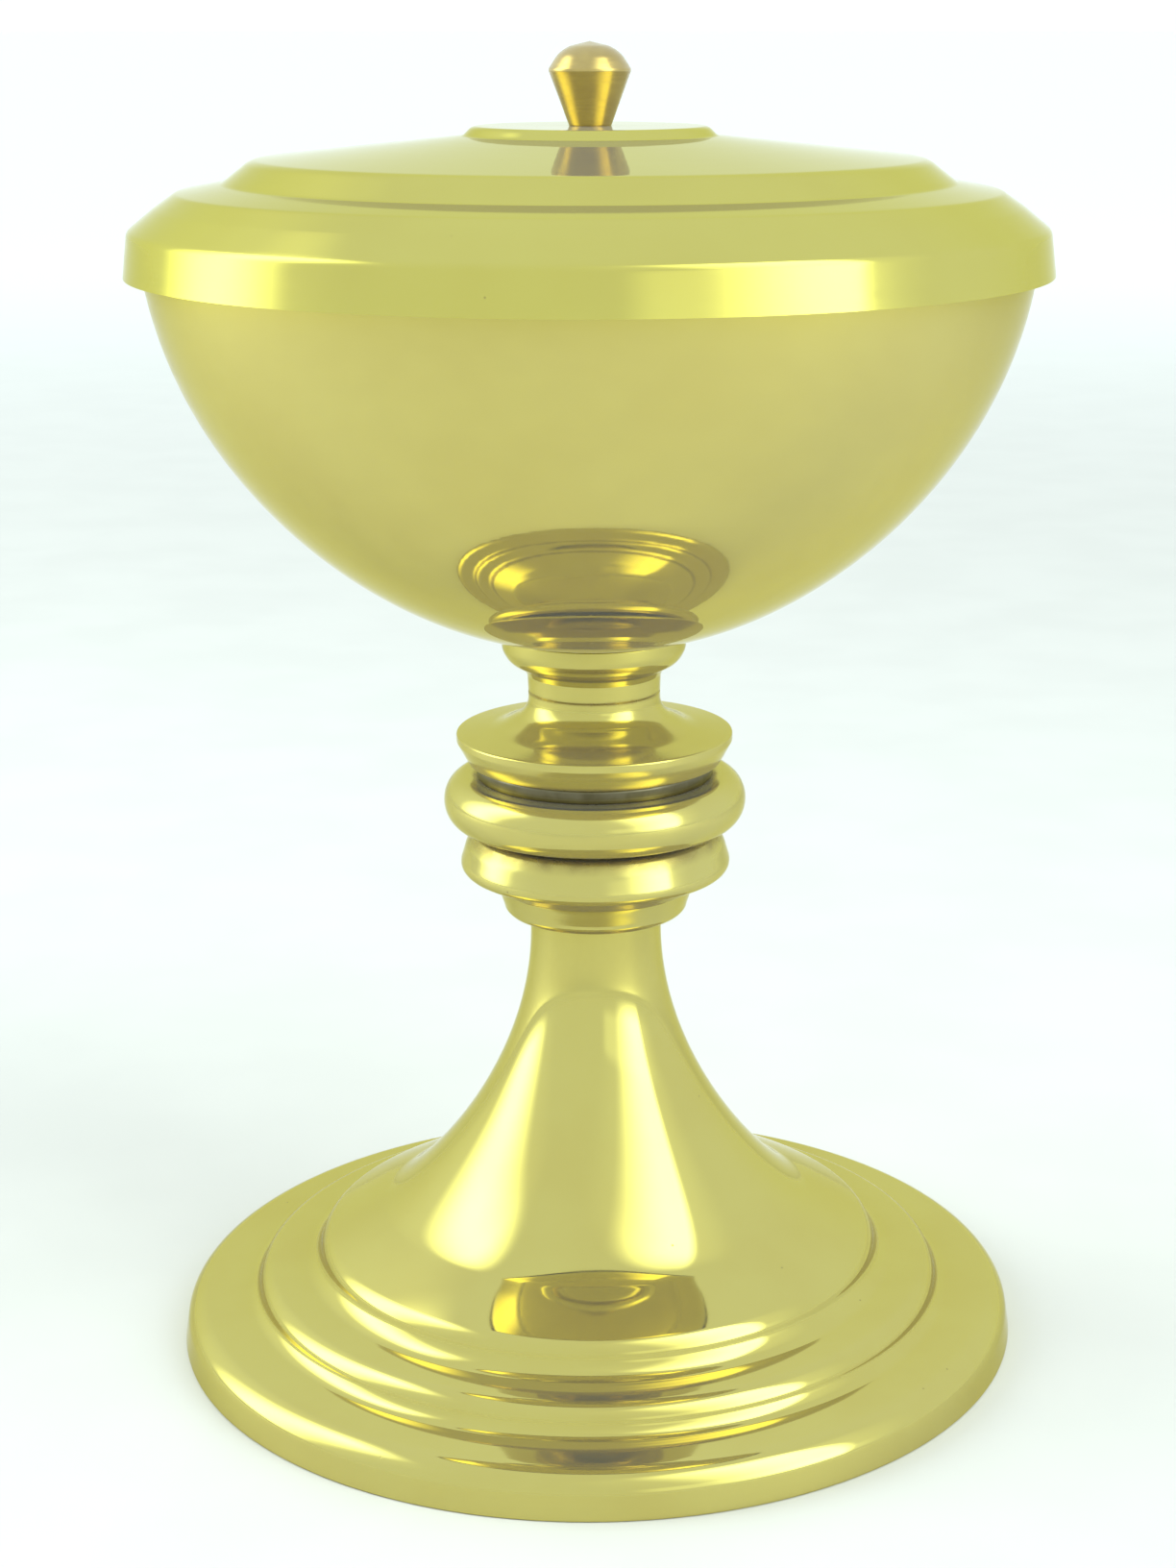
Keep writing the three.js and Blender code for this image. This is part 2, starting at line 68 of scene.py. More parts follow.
def draw_outline(name, corners):
    bpy.ops.object.select_all(action="DESELECT")
    bpy.ops.mesh.primitive_plane_add(size=MM)
    outline = bpy.context.object
    outline.name = name
    outline.data.name = name
    bpy.ops.object.mode_set(mode="EDIT")
    bpy.ops.mesh.select_mode(type="VERT")
    bpy.ops.mesh.merge(type="CENTER")
    bpy.ops.transform.translate(value=place_of(corners[0]))
    for before, after in zip(corners, corners[1:]):
        step = place_of(after) - place_of(before)
        bpy.ops.mesh.extrude_region_move(TRANSFORM_OT_translate={"value": step})
    bpy.ops.object.mode_set(mode="OBJECT")
    return outline


# %% [markdown]
# ## Rounding the corners
#
# Sheet metal that is pressed over a form never has a sharp edge, and a turned edge is
# broken with a file. A vertex bevel on a bare outline swings the corner into an arc.
# The bevel's offset is measured along the two edges, so it is worked out from the
# radius of the rounding and the angle of the corner. Where two arcs want the same short
# edge, both give way.

# %% Round the corners with a vertex bevel
CLOSE = 1e-7
ARC_STEP = math.radians(5)
ARC_STRIDE = 0.6 * MM
ARC_SHARE = 0.98
LEAST_SEGMENTS = 3


def select_vertices(piece, wanted):
    """Selects in object mode, because an operator acts on what is selected."""
    for face in piece.data.polygons:
        face.select = False
    for edge in piece.data.edges:
        edge.select = False
    for vertex in piece.data.vertices:
        vertex.select = wanted(vertex.co)


def turn_at(corners, index):
    here = place_of(corners[index])
    run_in = here - place_of(corners[index - 1])
    run_out = place_of(corners[index + 1]) - here
    return run_in.angle(run_out)


def arc_reaches(corners):
    """How far from each corner its arc begins."""
    reaches = [0.0] * len(corners)
    for index in range(1, len(corners) - 1):
        if len(corners[index]) > 2:
            reaches[index] = corners[index][2] * MM * math.tan(turn_at(corners, index) / 2)
    shares = [1.0] * len(corners)
    for index in range(len(corners) - 1):
        run = (place_of(corners[index + 1]) - place_of(corners[index])).length
        both = reaches[index] + reaches[index + 1]
        if both > run * ARC_SHARE:
            shares[index] = min(shares[index], run * ARC_SHARE / both)
            shares[index + 1] = min(shares[index + 1], run * ARC_SHARE / both)
    return [reach * share for reach, share in zip(reaches, shares)]


def round_corners(outline, corners):
    for index, reach in enumerate(arc_reaches(corners)):
        if reach == 0:
            continue
        here = place_of(corners[index])
        turn = turn_at(corners, index)
        arc = reach / math.tan(turn / 2) * turn
        select_vertices(outline, lambda place: (place - here).length < CLOSE)
        bpy.ops.object.mode_set(mode="EDIT")
        bpy.ops.mesh.bevel(
            offset_type="OFFSET",
            offset=reach,
            segments=max(LEAST_SEGMENTS, math.ceil(turn / ARC_STEP), math.ceil(arc / ARC_STRIDE)),
            affect="VERTICES",
        )
        bpy.ops.object.mode_set(mode="OBJECT")


# %% [markdown]
# ## Giving long runs more points
#
# A mirror finish shows every place where shading is stretched between far points, so
# long straight runs are halved until no edge is longer than the limit. A subdivision
# surface would add points too, but it would also pull the roundings off their radius.

# %% Halve the long edges
LONGEST_EDGE = 0.9 * MM


def halve_long_edges(outline):
    while True:
        mesh = outline.data
        select_vertices(outline, lambda place: False)
        ends = [[mesh.vertices[i].co for i in edge.vertices] for edge in mesh.edges]
        long_ones = [(start - end).length > LONGEST_EDGE for start, end in ends]
        if not any(long_ones):
            return
        for edge, is_long in zip(mesh.edges, long_ones):
            edge.select = is_long
        bpy.ops.object.mode_set(mode="EDIT")
        bpy.ops.mesh.select_mode(type="EDGE")
        bpy.ops.mesh.subdivide(number_cuts=1)
        bpy.ops.mesh.select_mode(type="VERT")
        bpy.ops.object.mode_set(mode="OBJECT")


# %% [markdown]
# ## Turning it on the lathe
#
# Spin sweeps the outline round the upright axis. The last copy lies on the first, so
# doubles are merged, which also closes the poles, and then the normals are recalculated
# because a spin can turn a shape inside out.

# %% Spin the outline
WIDE_STEPS = 192
RING_STEPS = 128
SMALL_STEPS = 64
CREASE = math.radians(28)
SAME_POINT = 0.0005 * MM


def spin_round(piece, steps):
    bpy.ops.object.mode_set(mode="EDIT")
    bpy.ops.mesh.select_all(action="SELECT")
    bpy.ops.mesh.spin(steps=steps, angle=2 * math.pi, center=(0, 0, 0), axis=(0, 0, 1))
    bpy.ops.mesh.select_all(action="SELECT")
    bpy.ops.mesh.remove_doubles(threshold=SAME_POINT)
    bpy.ops.mesh.normals_make_consistent(inside=False)
    bpy.ops.object.mode_set(mode="OBJECT")


def smooth(piece):
    bpy.ops.object.select_all(action="DESELECT")
    piece.select_set(True)
    bpy.context.view_layer.objects.active = piece
    bpy.ops.object.shade_smooth_by_angle(angle=CREASE)


def turn_piece(name, corners, steps):
    stands_on_axis = corners[0][0] == 0 and corners[-1][0] == 0
    path = corners if stands_on_axis else [*corners, corners[0][:2]]
    piece = draw_outline(name, path)
    round_corners(piece, path)
    halve_long_edges(piece)
    spin_round(piece, steps)
    smooth(piece)
    print(name, "faces:", len(piece.data.polygons))
    return piece


# %% [markdown]
# ## Sheet metal
#
# A spun piece has the same thickness everywhere. Its inside is the outside outline
# moved in by the wall, with the inner roundings smaller or larger by the wall. The two
# together make one closed loop. Solidify could give the wall too, but in one loop the edge
# of a rim is rounded like every other corner.

# %% Offset an outline by a wall
LEAST_ROUND = 0.4


def wall_inside(corners, wall):
    """The corners moved to the right of the way they run."""
    points = [Vector(corner[:2]) for corner in corners]
    inside = []
    for index, point in enumerate(points):
        runs = []
        if index > 0:
            runs.append((point - points[index - 1]).normalized())
        if index < len(points) - 1:
            runs.append((points[index + 1] - point).normalized())
        normals = [Vector((run.y, -run.x)) for run in runs]
        mean = (normals[0] + normals[-1]).normalized()
        moved = point + mean * wall / mean.dot(normals[0])
        rounding = corners[index][2] if len(corners[index]) > 2 else 0
        turn = runs[0].cross(runs[-1])
        rounding += wall if turn > 0 else -wall
        keep_round = len(corners[index]) > 2 and rounding > LEAST_ROUND
        inside.append((moved.x, moved.y, rounding) if keep_round else (moved.x, moved.y))
    return inside


# %% [markdown]
# ## Long curves
#
# A flare or the side of a bowl has no corner to round. It is drawn like a pen tool's
# curve, from two ends and two handles that pull it, and cut into many short steps.

# %% Points along a curve


def curve_corners(start, start_handle, end_handle, end, steps):
    first, second, third, last = (Vector(point) for point in (start, start_handle, end_handle, end))
    points = []
    for step in range(steps + 1):
        gone = step / steps
        left = 1 - gone
        place = (
            first * left**3
            + second * 3 * left * left * gone
            + third * 3 * left * gone * gone
            + last * gone**3
        )
        points.append(tuple(place))
    return points


# %% [markdown]
# ## Handing a piece over
#
# A finished piece rides on the cup or on the lid and stands for its CAD node.

# %% Hand a piece over to the frame
def hand_over(piece, body, node):
    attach(piece, body)
    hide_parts(node)


# %% [markdown]
# ## The foot
#
# The foot is one spinning: a trumpet that runs out into a low cone, a raised ring, a
# brim and an upright rim whose edge is turned in under it. The trumpet is a long curve,
# so its flare stays free of flats. The cone bends down very slightly half way out, which
# gives the bowl's mirror image on it nearly straight sides and round corners.

# %% The foot
FOOT_TOP = 65.6
FOOT_RADIUS = 63.9
HEM_RADIUS = 60.9
SHEET = 1.2
NECK_RADIUS = 9.8
NECK_LOW = FOOT_TOP - 2
NECK_PULL = 23.5
CONE_START = (33, 19.6)
CONE_SLOPE = math.radians(23.5)
CONE_PULL = 4.6
CONE_BEND_RADIUS = 38
CONE_BEND = 90
CONE_EDGE = (42.4, 15.02)
TRUMPET_STEPS = 84

neck_handle = (NECK_RADIUS, NECK_LOW - NECK_PULL)
cone_handle = (
    CONE_START[0] - CONE_PULL * math.cos(CONE_SLOPE),
    CONE_START[1] + CONE_PULL * math.sin(CONE_SLOPE),
)
trumpet = curve_corners((NECK_RADIUS, NECK_LOW), neck_handle, cone_handle, CONE_START, TRUMPET_STEPS)
cone_bend = CONE_START[1] - (CONE_BEND_RADIUS - CONE_START[0]) * math.tan(CONE_SLOPE)
ring_top = CONE_EDGE[1] - 4
foot_outside = [
    (NECK_RADIUS, FOOT_TOP),
    *trumpet,
    (CONE_BEND_RADIUS, cone_bend, CONE_BEND),
    (*CONE_EDGE, 3.4),
    (43.1, ring_top, 3.2),
    (51.8, ring_top - 0.4, 4.2),
    (52.5, ring_top - 4.3, 3.4),
    (62.9, ring_top - 4.6, 3.6),
    (FOOT_RADIUS, 0, 0.35),
]
foot_inside = wall_inside(foot_outside, SHEET)
foot_inside[0] = (foot_inside[0][0], FOOT_TOP)
foot_inside[-1] = (foot_inside[-1][0], SHEET)
hem = [(HEM_RADIUS, 0, 0.3), (HEM_RADIUS, SHEET, 0.3)]
foot = turn_piece("foot_spun", [*foot_outside, *hem, *reversed(foot_inside)], WIDE_STEPS)
hand_over(foot, "cup", "foot")

# %% [markdown]
# ## The bead ring and its cuff
#
# The ring that stands on the neck is turned from bar: a round bead over a cup-shaped
# cuff, with a spigot below that centres it in the neck. The bead could be a torus and
# the cuff a cylinder, but the real ring is one piece, and one outline leaves no seam
# between them. Its bottom edge is broken a little, and that is what shows as the fine
# dark joint line on the real one.

# %% The bead ring
ROD_BORE = 3.3
JOINT_EDGE = 0.15
BEAD_HEIGHT = 13.6
BEAD_TOP = FOOT_TOP + BEAD_HEIGHT
SPIGOT = foot_inside[0][0] - 0.3
SPIGOT_DEPTH = 3


def raised(corners, lift):
    return [(radius, height + lift, *rounding) for radius, height, *rounding in corners]


bead_ring = turn_piece(
    "bead_ring_turned",
    raised(
        [
            (ROD_BORE, -SPIGOT_DEPTH),
            (SPIGOT, -SPIGOT_DEPTH, 0.4),
            (SPIGOT, 0),
            (NECK_RADIUS - JOINT_EDGE, 0),
            (NECK_RADIUS, JOINT_EDGE),
            (13.5, 0.8, 1.4),
            (13.8, 2.1, 2.4),
            (14.7, 4.8, 0.25),
            (20.0, 7.5, 2),
            (20.1, 8.7, 3),
            (19.3, 11.3, 3),
            (18.1, BEAD_HEIGHT, 1.4),
            (ROD_BORE, BEAD_HEIGHT),
        ],
        FOOT_TOP,
    ),
    RING_STEPS,
)
hand_over(bead_ring, "cup", "lower_bead_ring")

# %% [markdown]
# ## The spacers
#
# Two plain rings sit in the grooves of the knot and are coloured nearly black between the
# bright rings. They differ only in their sizes, so one function turns both, each with its
# own mesh.

# %% The two spacers
KNOT_BOTTOM = BEAD_TOP + 0.8
KNOT_TOP = KNOT_BOTTOM + 7.4
FLANGE_BOTTOM = KNOT_TOP + 2.2


def turn_spacer(name, node, radius, low, high, rounding):
    spacer = turn_piece(
        name,
        [(ROD_BORE, low), (radius, low, 0.15), (radius, high, rounding), (ROD_BORE, high)],
        RING_STEPS,
    )
    hand_over(spacer, "cup", node)
    return spacer


lower_spacer = turn_spacer("lower_spacer_turned", "lower_spacer", 17.1, BEAD_TOP, KNOT_BOTTOM, 0.35)
upper_spacer = turn_spacer("upper_spacer_turned", "upper_spacer", 17.5, KNOT_TOP, FLANGE_BOTTOM, 0.7)

# %% [markdown]
# ## The round ring
#
# The widest ring of the knot has a side like half an ellipse. A torus would be too
# round and a bevel only makes round arcs, so the side is drawn point by point.

# %% The round ring
KNOT_RADIUS = 22.4
KNOT_BULGE = 3
BULGE_STEPS = 26
knot_middle = (KNOT_BOTTOM + KNOT_TOP) / 2
bulge = [
    (
        KNOT_RADIUS - KNOT_BULGE + KNOT_BULGE * math.cos(angle),
        knot_middle + (KNOT_TOP - knot_middle) * math.sin(angle),
    )
    for angle in [math.pi * (step / BULGE_STEPS - 0.5) for step in range(BULGE_STEPS + 1)]
]
knot_ring = turn_piece(
    "round_ring_turned", [(ROD_BORE, KNOT_BOTTOM), *bulge, (ROD_BORE, KNOT_TOP)], RING_STEPS
)
hand_over(knot_ring, "cup", "round_knot_ring")

# %% [markdown]
# ## The dish flange
#
# A thin lip round a shallow dish, with a trumpet neck that carries the collar. The dish
# could be pressed into a disc with proportional editing, but two wide roundings give
# its hollow and its throat exact radii. The lip is thin, so its edges are only just
# broken.

# %% The dish flange
FLANGE_HEIGHT = 10.5
FLANGE_TOP = FLANGE_BOTTOM + FLANGE_HEIGHT
LIP_RADIUS = 20.4
THROAT = 9.7
flange = turn_piece(
    "dish_flange_turned",
    raised(
        [
            (ROD_BORE, 0),
            (18.7, 0, 0.3),
            (LIP_RADIUS, 3.2, 0.3),
            (LIP_RADIUS, 4.3, 0.3),
            (14.5, 5.0, 6),
            (THROAT, 7.6, 3.2),
            (THROAT, FLANGE_HEIGHT - JOINT_EDGE),
            (THROAT - JOINT_EDGE, FLANGE_HEIGHT),
            (ROD_BORE, FLANGE_HEIGHT),
        ],
        FLANGE_BOTTOM,
    ),
    RING_STEPS,
)
hand_over(flange, "cup", "dish_flange")

# %% [markdown]
# ## The collar
#
# The collar is a small cup under the bowl, with a short neck and a step. The bowl rests
# on it and hides its top, which is hollowed a little so that its edge follows the bowl.

# %% The collar
COLLAR_HEIGHT = 7.8
BOWL_BOTTOM = FLANGE_TOP + COLLAR_HEIGHT
COLLAR_RADIUS = 13.5
BOSS_BORE = 5.3
collar = turn_piece(
    "collar_turned",
    raised(
        [
            (BOSS_BORE, 0),
            (THROAT - JOINT_EDGE, 0),
            (THROAT, JOINT_EDGE),
            (9.8, 2.5, 0.5),
            (10.3, 3.4, 0.5),
            (12.6, 4.7, 2.7),
            (COLLAR_RADIUS, 6.4, 2),
            (COLLAR_RADIUS, 8.42, 0.12),
            (12.0, 8.2),
            (9.8, 7.9),
            (7.6, COLLAR_HEIGHT),
            (BOSS_BORE, COLLAR_HEIGHT),
        ],
        FLANGE_TOP,
    ),
    RING_STEPS,
)
hand_over(collar, "cup", "bowl_collar")

# %% [markdown]
# ## The bowl
#
# The bowl is spun from one disc. Its side is a single curve from a small flat bottom to
# a rim that still leans out by a few degrees. Half of a sphere would be quicker, but it
# is upright at the rim and has no flat bottom, so the side is a drawn curve. The rim's
# edge is rounded so that it does not cut.

# %% The bowl
BOWL_RIM = 63.1
BOWL_DEPTH = 58.6
BOWL_FLAT = 7
BOTTOM_HANDLE = 27.2
RIM_PULL = 36.2
RIM_LEAN = math.radians(3.3)
BOWL_STEPS = 124
rim_handle = (BOWL_RIM - RIM_PULL * math.sin(RIM_LEAN), BOWL_DEPTH - RIM_PULL * math.cos(RIM_LEAN))
bowl_side = curve_corners(
    (BOWL_FLAT, 0), (BOTTOM_HANDLE, 0), rim_handle, (BOWL_RIM, BOWL_DEPTH), BOWL_STEPS
)
bowl_outside = raised([(0, 0), *bowl_side], BOWL_BOTTOM)
bowl_inside = wall_inside(list(reversed(bowl_outside)), SHEET)
bowl_inside[-1] = (0, bowl_inside[-1][1])
rim_height = BOWL_BOTTOM + BOWL_DEPTH
rim = [(BOWL_RIM, rim_height, 0.45), (BOWL_RIM - SHEET, rim_height, 0.45)]
bowl = turn_piece("bowl_spun", [*bowl_outside[:-1], *rim, *bowl_inside[1:]], WIDE_STEPS)
hand_over(bowl, "cup", "bowl")

# %% [markdown]
# ## The lid
#
# The lid steps up from an upright skirt over a hip, a ledge, a round shoulder and a
# shallow cone to a small flat cap. It could be a disc that is inset and moved up step
# by step, but then each bevel changes the next one. In the outline, each corner has a
# radius, how much it is higher than the last, and a rounding, from the skirt inwards.

# %% The lid
LID_SHEET = 0.9
SKIRT_EDGE = 160.934
SCREW_BORE = 1.8
LID_STEPS = [
    (65.1, 0, 0.3),
    (64.35, 6.1, 1.3),
    (60.5, 3.1, 1.3),
    (57.6, 2, 1.6),
    (51.2, 1.2, 1.3),
    (47.2, 3.1, 3),
    (17.8, 3.1, 1),
    (16.5, 1.3, 1.4),
    (SCREW_BORE, 0),
]
lid_outside = []
level = SKIRT_EDGE
for radius, rise, *rounding in LID_STEPS:
    level += rise
    lid_outside.append((radius, level, *rounding))
LID_TOP = level
lid_inside = list(reversed(wall_inside(list(reversed(lid_outside)), LID_SHEET)))
lid_inside[0] = (lid_inside[0][0], SKIRT_EDGE, LID_STEPS[0][2])
lid_inside[-1] = (SCREW_BORE, LID_TOP - LID_SHEET)
lid_cover = turn_piece("lid_spun", [*lid_outside, *reversed(lid_inside)], WIDE_STEPS)
hand_over(lid_cover, "lid", "lid_cover")

# %% [markdown]
# ## The knob
#
# A tapered knob with a soft shoulder and a domed top, turned from bar and drilled from
# below for its screw. The drilled hole is part of the outline, so no boolean is needed.

# %% The knob
KNOB_DRILLED = 5.3
knob = turn_piece(
    "knob_turned",
    raised(
        [
            (0, KNOB_DRILLED),
            (SCREW_BORE, KNOB_DRILLED),
            (SCREW_BORE, 0),
            (2.9, 0),
            (3, 0.15, 0.1),
            (5.8, 7.6, 0.6),
            (3.9, 10.5, 4),
            (0, 11.4),
        ],
        LID_TOP,
    ),
    RING_STEPS,
)
hand_over(knob, "lid", "lid_knob")

# %% [markdown]
# ## The boss under the bowl
#
# A threaded boss is soldered under the bowl inside the collar. It is hidden once the
# stem is together, so it is a plain turned plug with a drilled hole, whose end is a cone
# because a drill's point is one.

# %% The boss
BOSS_RADIUS = 5
BOSS_HEIGHT = 7
BOSS_DRILLED = 5.2
DRILL_POINT = 1.6
boss = turn_piece(
    "boss_turned",
    raised(
        [
            (0, 0),
            (BOSS_RADIUS, 0),
            (BOSS_RADIUS, -BOSS_HEIGHT, 0.4),
            (ROD_BORE, -BOSS_HEIGHT, 0.3),
            (ROD_BORE, BOSS_DRILLED - BOSS_HEIGHT),
            (0, BOSS_DRILLED - BOSS_HEIGHT + DRILL_POINT),
        ],
        BOWL_BOTTOM,
    ),
    SMALL_STEPS,
)
hand_over(boss, "cup", "bowl_boss")

# %% [markdown]
# ## The tie rod
#
# A threaded rod pulls the whole stack together. From below, its end shows thread, so
# the outline zigzags there. A screw modifier could make a true helix, but rings of one
# millimetre pitch look the same at this size and close at both ends.

# %% The tie rod
ROD_RADIUS = 3
ROD_LOW = 33.35
ROD_HIGH = 105.8
THREAD_PITCH = 1
THREAD_DEPTH = 0.5
THREADS = 12
LOW_CHAMFER = 0.8
HIGH_CHAMFER = 0.6
thread_low = ROD_LOW + LOW_CHAMFER
rod_corners = [(0, ROD_LOW), (ROD_RADIUS - LOW_CHAMFER, ROD_LOW, 0.1), (ROD_RADIUS, thread_low)]
for thread in range(THREADS):
    valley = thread_low + (thread + 0.5) * THREAD_PITCH
    rod_corners.append((ROD_RADIUS - THREAD_DEPTH, valley, 0.1))
    rod_corners.append((ROD_RADIUS, valley + THREAD_PITCH / 2, 0.06))
rod_corners.append((ROD_RADIUS, ROD_HIGH - HIGH_CHAMFER))
rod_corners.append((ROD_RADIUS - HIGH_CHAMFER, ROD_HIGH))
rod_corners.append((0, ROD_HIGH))
tie_rod = turn_piece("tie_rod_threaded", rod_corners, SMALL_STEPS)
hand_over(tie_rod, "cup", "tie_rod")

# %% [markdown]
# ## The clamp washer
#
# A thick punched washer bears in the throat of the trumpet. Punching leaves one edge
# rounder than the other, so its corners have roundings of their own, which one bevel
# over the whole piece couldn't give.

# %% The clamp washer
WASHER_LOW = 41.35
WASHER_HIGH = 42.95
WASHER_RADIUS = 13
clamp_washer = turn_piece(
    "clamp_washer_punched",
    [
        (ROD_BORE, WASHER_LOW, 0.2),
        (WASHER_RADIUS, WASHER_LOW, 0.5),
        (WASHER_RADIUS, WASHER_HIGH, 0.15),
        (ROD_BORE, WASHER_HIGH, 0.15),
    ],
    SMALL_STEPS,
)
hand_over(clamp_washer, "cup", "clamp_washer")

# %% [markdown]
# ## The nut
#
# A nut is hexagon bar with its corners turned off at both ends. A cylinder of six sides
# has no such turned corners. So a ring with chamfered ends is turned first, and then
# six flats are sliced off it with bisect, which leaves the curved edges of a real nut.

# %% The nut
NUT_SIDES = 6
NUT_ACROSS = 10
NUT_CORNER = NUT_ACROSS / 2 / math.cos(math.pi / NUT_SIDES)
NUT_FACE = NUT_ACROSS / 2 - 0.2
NUT_CHAMFER = 0.7
BORE_CHAMFER = 0.3
NUT_LOW = 36.35
NUT_HIGH = WASHER_LOW
nut = turn_piece(
    "clamp_nut_hexagon",
    [
        (ROD_BORE + BORE_CHAMFER, NUT_LOW),
        (NUT_FACE, NUT_LOW),
        (NUT_CORNER, NUT_LOW + NUT_CHAMFER),
        (NUT_CORNER, NUT_HIGH - NUT_CHAMFER),
        (NUT_FACE, NUT_HIGH),
        (ROD_BORE + BORE_CHAMFER, NUT_HIGH),
        (ROD_BORE, NUT_HIGH - BORE_CHAMFER),
        (ROD_BORE, NUT_LOW + BORE_CHAMFER),
    ],
    SMALL_STEPS,
)
bpy.ops.object.mode_set(mode="EDIT")
for side in range(NUT_SIDES):
    turned = 2 * math.pi * side / NUT_SIDES
    direction = Vector((math.cos(turned), math.sin(turned), 0))
    bpy.ops.mesh.select_all(action="SELECT")
    bpy.ops.mesh.bisect(
        plane_co=direction * NUT_ACROSS / 2 * MM,
        plane_no=direction,
        use_fill=True,
        clear_outer=True,
        threshold=CLOSE,
    )
bpy.ops.mesh.select_all(action="SELECT")
bpy.ops.mesh.remove_doubles(threshold=SAME_POINT)
bpy.ops.mesh.normals_make_consistent(inside=False)
bpy.ops.object.mode_set(mode="OBJECT")
smooth(nut)
print("nut: faces with six flats:", len(nut.data.polygons))
hand_over(nut, "cup", "clamp_nut")

# %% [markdown]
# ## The knob's washer
#
# A small punched washer lies under the cap of the lid, so that the screw's head does not
# dent the thin sheet. It is turned from four corners, like the clamp washer.

# %% The washer of the knob
KNOB_WASHER_HIGH = LID_TOP - LID_SHEET
KNOB_WASHER_LOW = KNOB_WASHER_HIGH - 0.8
KNOB_WASHER_RADIUS = 4.5
knob_washer = turn_piece(
    "knob_washer_punched",
    [
        (SCREW_BORE, KNOB_WASHER_LOW),
        (KNOB_WASHER_RADIUS, KNOB_WASHER_LOW, 0.3),
        (KNOB_WASHER_RADIUS, KNOB_WASHER_HIGH, 0.1),
        (SCREW_BORE, KNOB_WASHER_HIGH),
    ],
    SMALL_STEPS,
)
hand_over(knob_washer, "lid", "knob_washer")

# %% [markdown]
# ## The knob's screw
#
# A slotted screw holds the knob from inside the lid. Its slot is milled across the head,
# so a thin bar is taken out of the turned screw with a boolean. The bar stands out past
# the head on all sides, so that no two faces lie in one plane.

# %% The screw of the knob
HEAD_LOW = KNOB_WASHER_LOW - 2
HEAD_RADIUS = 2.8
SHANK_RADIUS = 1.5
SHANK_CHAMFER = 0.3
SCREW_END = LID_TOP + 5
SLOT_WIDTH = 0.8
SLOT_DEPTH = 1
CUTTER_LENGTH = 8
CUTTER_PROUD = 1
knob_screw = turn_piece(
    "knob_screw_slotted",
    [
        (0, HEAD_LOW),
        (HEAD_RADIUS, HEAD_LOW, 0.8),
        (HEAD_RADIUS, KNOB_WASHER_LOW, 0.1),
        (SHANK_RADIUS, KNOB_WASHER_LOW),
        (SHANK_RADIUS, SCREW_END - SHANK_CHAMFER),
        (SHANK_RADIUS - SHANK_CHAMFER, SCREW_END),
        (0, SCREW_END),
    ],
    SMALL_STEPS,
)
bpy.ops.object.select_all(action="DESELECT")
cutter_height = SLOT_DEPTH + CUTTER_PROUD
bpy.ops.mesh.primitive_cube_add(
    size=1,
    location=(0, 0, (HEAD_LOW + SLOT_DEPTH - cutter_height / 2) * MM),
    scale=(CUTTER_LENGTH * MM, SLOT_WIDTH * MM, cutter_height * MM),
)
cutter = bpy.context.object
bpy.context.view_layer.objects.active = knob_screw
milling = knob_screw.modifiers.new("milled slot", "BOOLEAN")
milling.operation = "DIFFERENCE"
milling.object = cutter
milling.solver = "EXACT"
bpy.ops.object.modifier_apply(modifier=milling.name)
bpy.data.objects.remove(cutter, do_unlink=True)
smooth(knob_screw)
print("screw: faces with its slot:", len(knob_screw.data.polygons))
hand_over(knob_screw, "lid", "knob_screw")

# %% [markdown]
# ## Colours and nodes
#
# Colours are written as a paint program shows them. The shader works in linear light,
# so one function turns them. Another one adds a node with its settings and its links,
# which keeps the finishes below short. A pattern's size is given in millimetres, and the
# noise nodes want how many of it fit in a metre.

# %% Helpers for the finishes
SMOOTH = {"interpolation_type": "SMOOTHSTEP"}
TIMES = {"operation": "MULTIPLY"}
COLOURS = {"data_type": "RGBA"}


def linear(code):
    parts = [int(code[i : i + 2], 16) / 255 for i in (1, 3, 5)]
    turned = [part / 12.92 if part <= 0.04045 else ((part + 0.055) / 1.055) ** 2.4 for part in parts]
    return (*turned, 1.0)


def per_metre(size_mm):
    return 1 / (size_mm * MM)


def add_node(tree, kind, links=(), **settings):
    """Adds a node and gives its outputs. The links are values or outputs of other nodes,
    by the names of this node's inputs or in their order."""
    node = tree.nodes.new("ShaderNode" + kind)
    for name, value in settings.items():
        setattr(node, name, value)
    by_input = links if isinstance(links, dict) else dict(enumerate(links))
    for socket, value in by_input.items():
        if isinstance(value, bpy.types.NodeSocket):
            tree.links.new(value, node.inputs[socket])
        else:
            node.inputs[socket].default_value = value
    return node.outputs


def new_finish(name):
    finish = bpy.data.materials.new(name)
    finish.use_nodes = True
    return finish, finish.node_tree, finish.node_tree.nodes["Principled BSDF"]


# %% [markdown]
# ## Marks that run round
#
# Whatever a lathe leaves on a piece runs round it. So the finishes don't read x, y and z
# but the distance from the axis and the height, and a noise on those two is a set of
# rings. A little of the angle is mixed in, so that the rings start and stop.

# %% Lathe coordinates and rings


def lathe_place(tree):
    """The place, the distance from the axis, the height and the direction round it."""
    place = add_node(tree, "TexCoord")["Object"]
    axes = add_node(tree, "SeparateXYZ", [place])
    across = add_node(tree, "CombineXYZ", [axes["X"], axes["Y"]])[0]
    radius = add_node(tree, "VectorMath", [across], operation="LENGTH")["Value"]
    angle = add_node(tree, "Math", [axes["Y"], axes["X"]], operation="ARCTAN2")[0]
    return place, radius, axes["Z"], angle


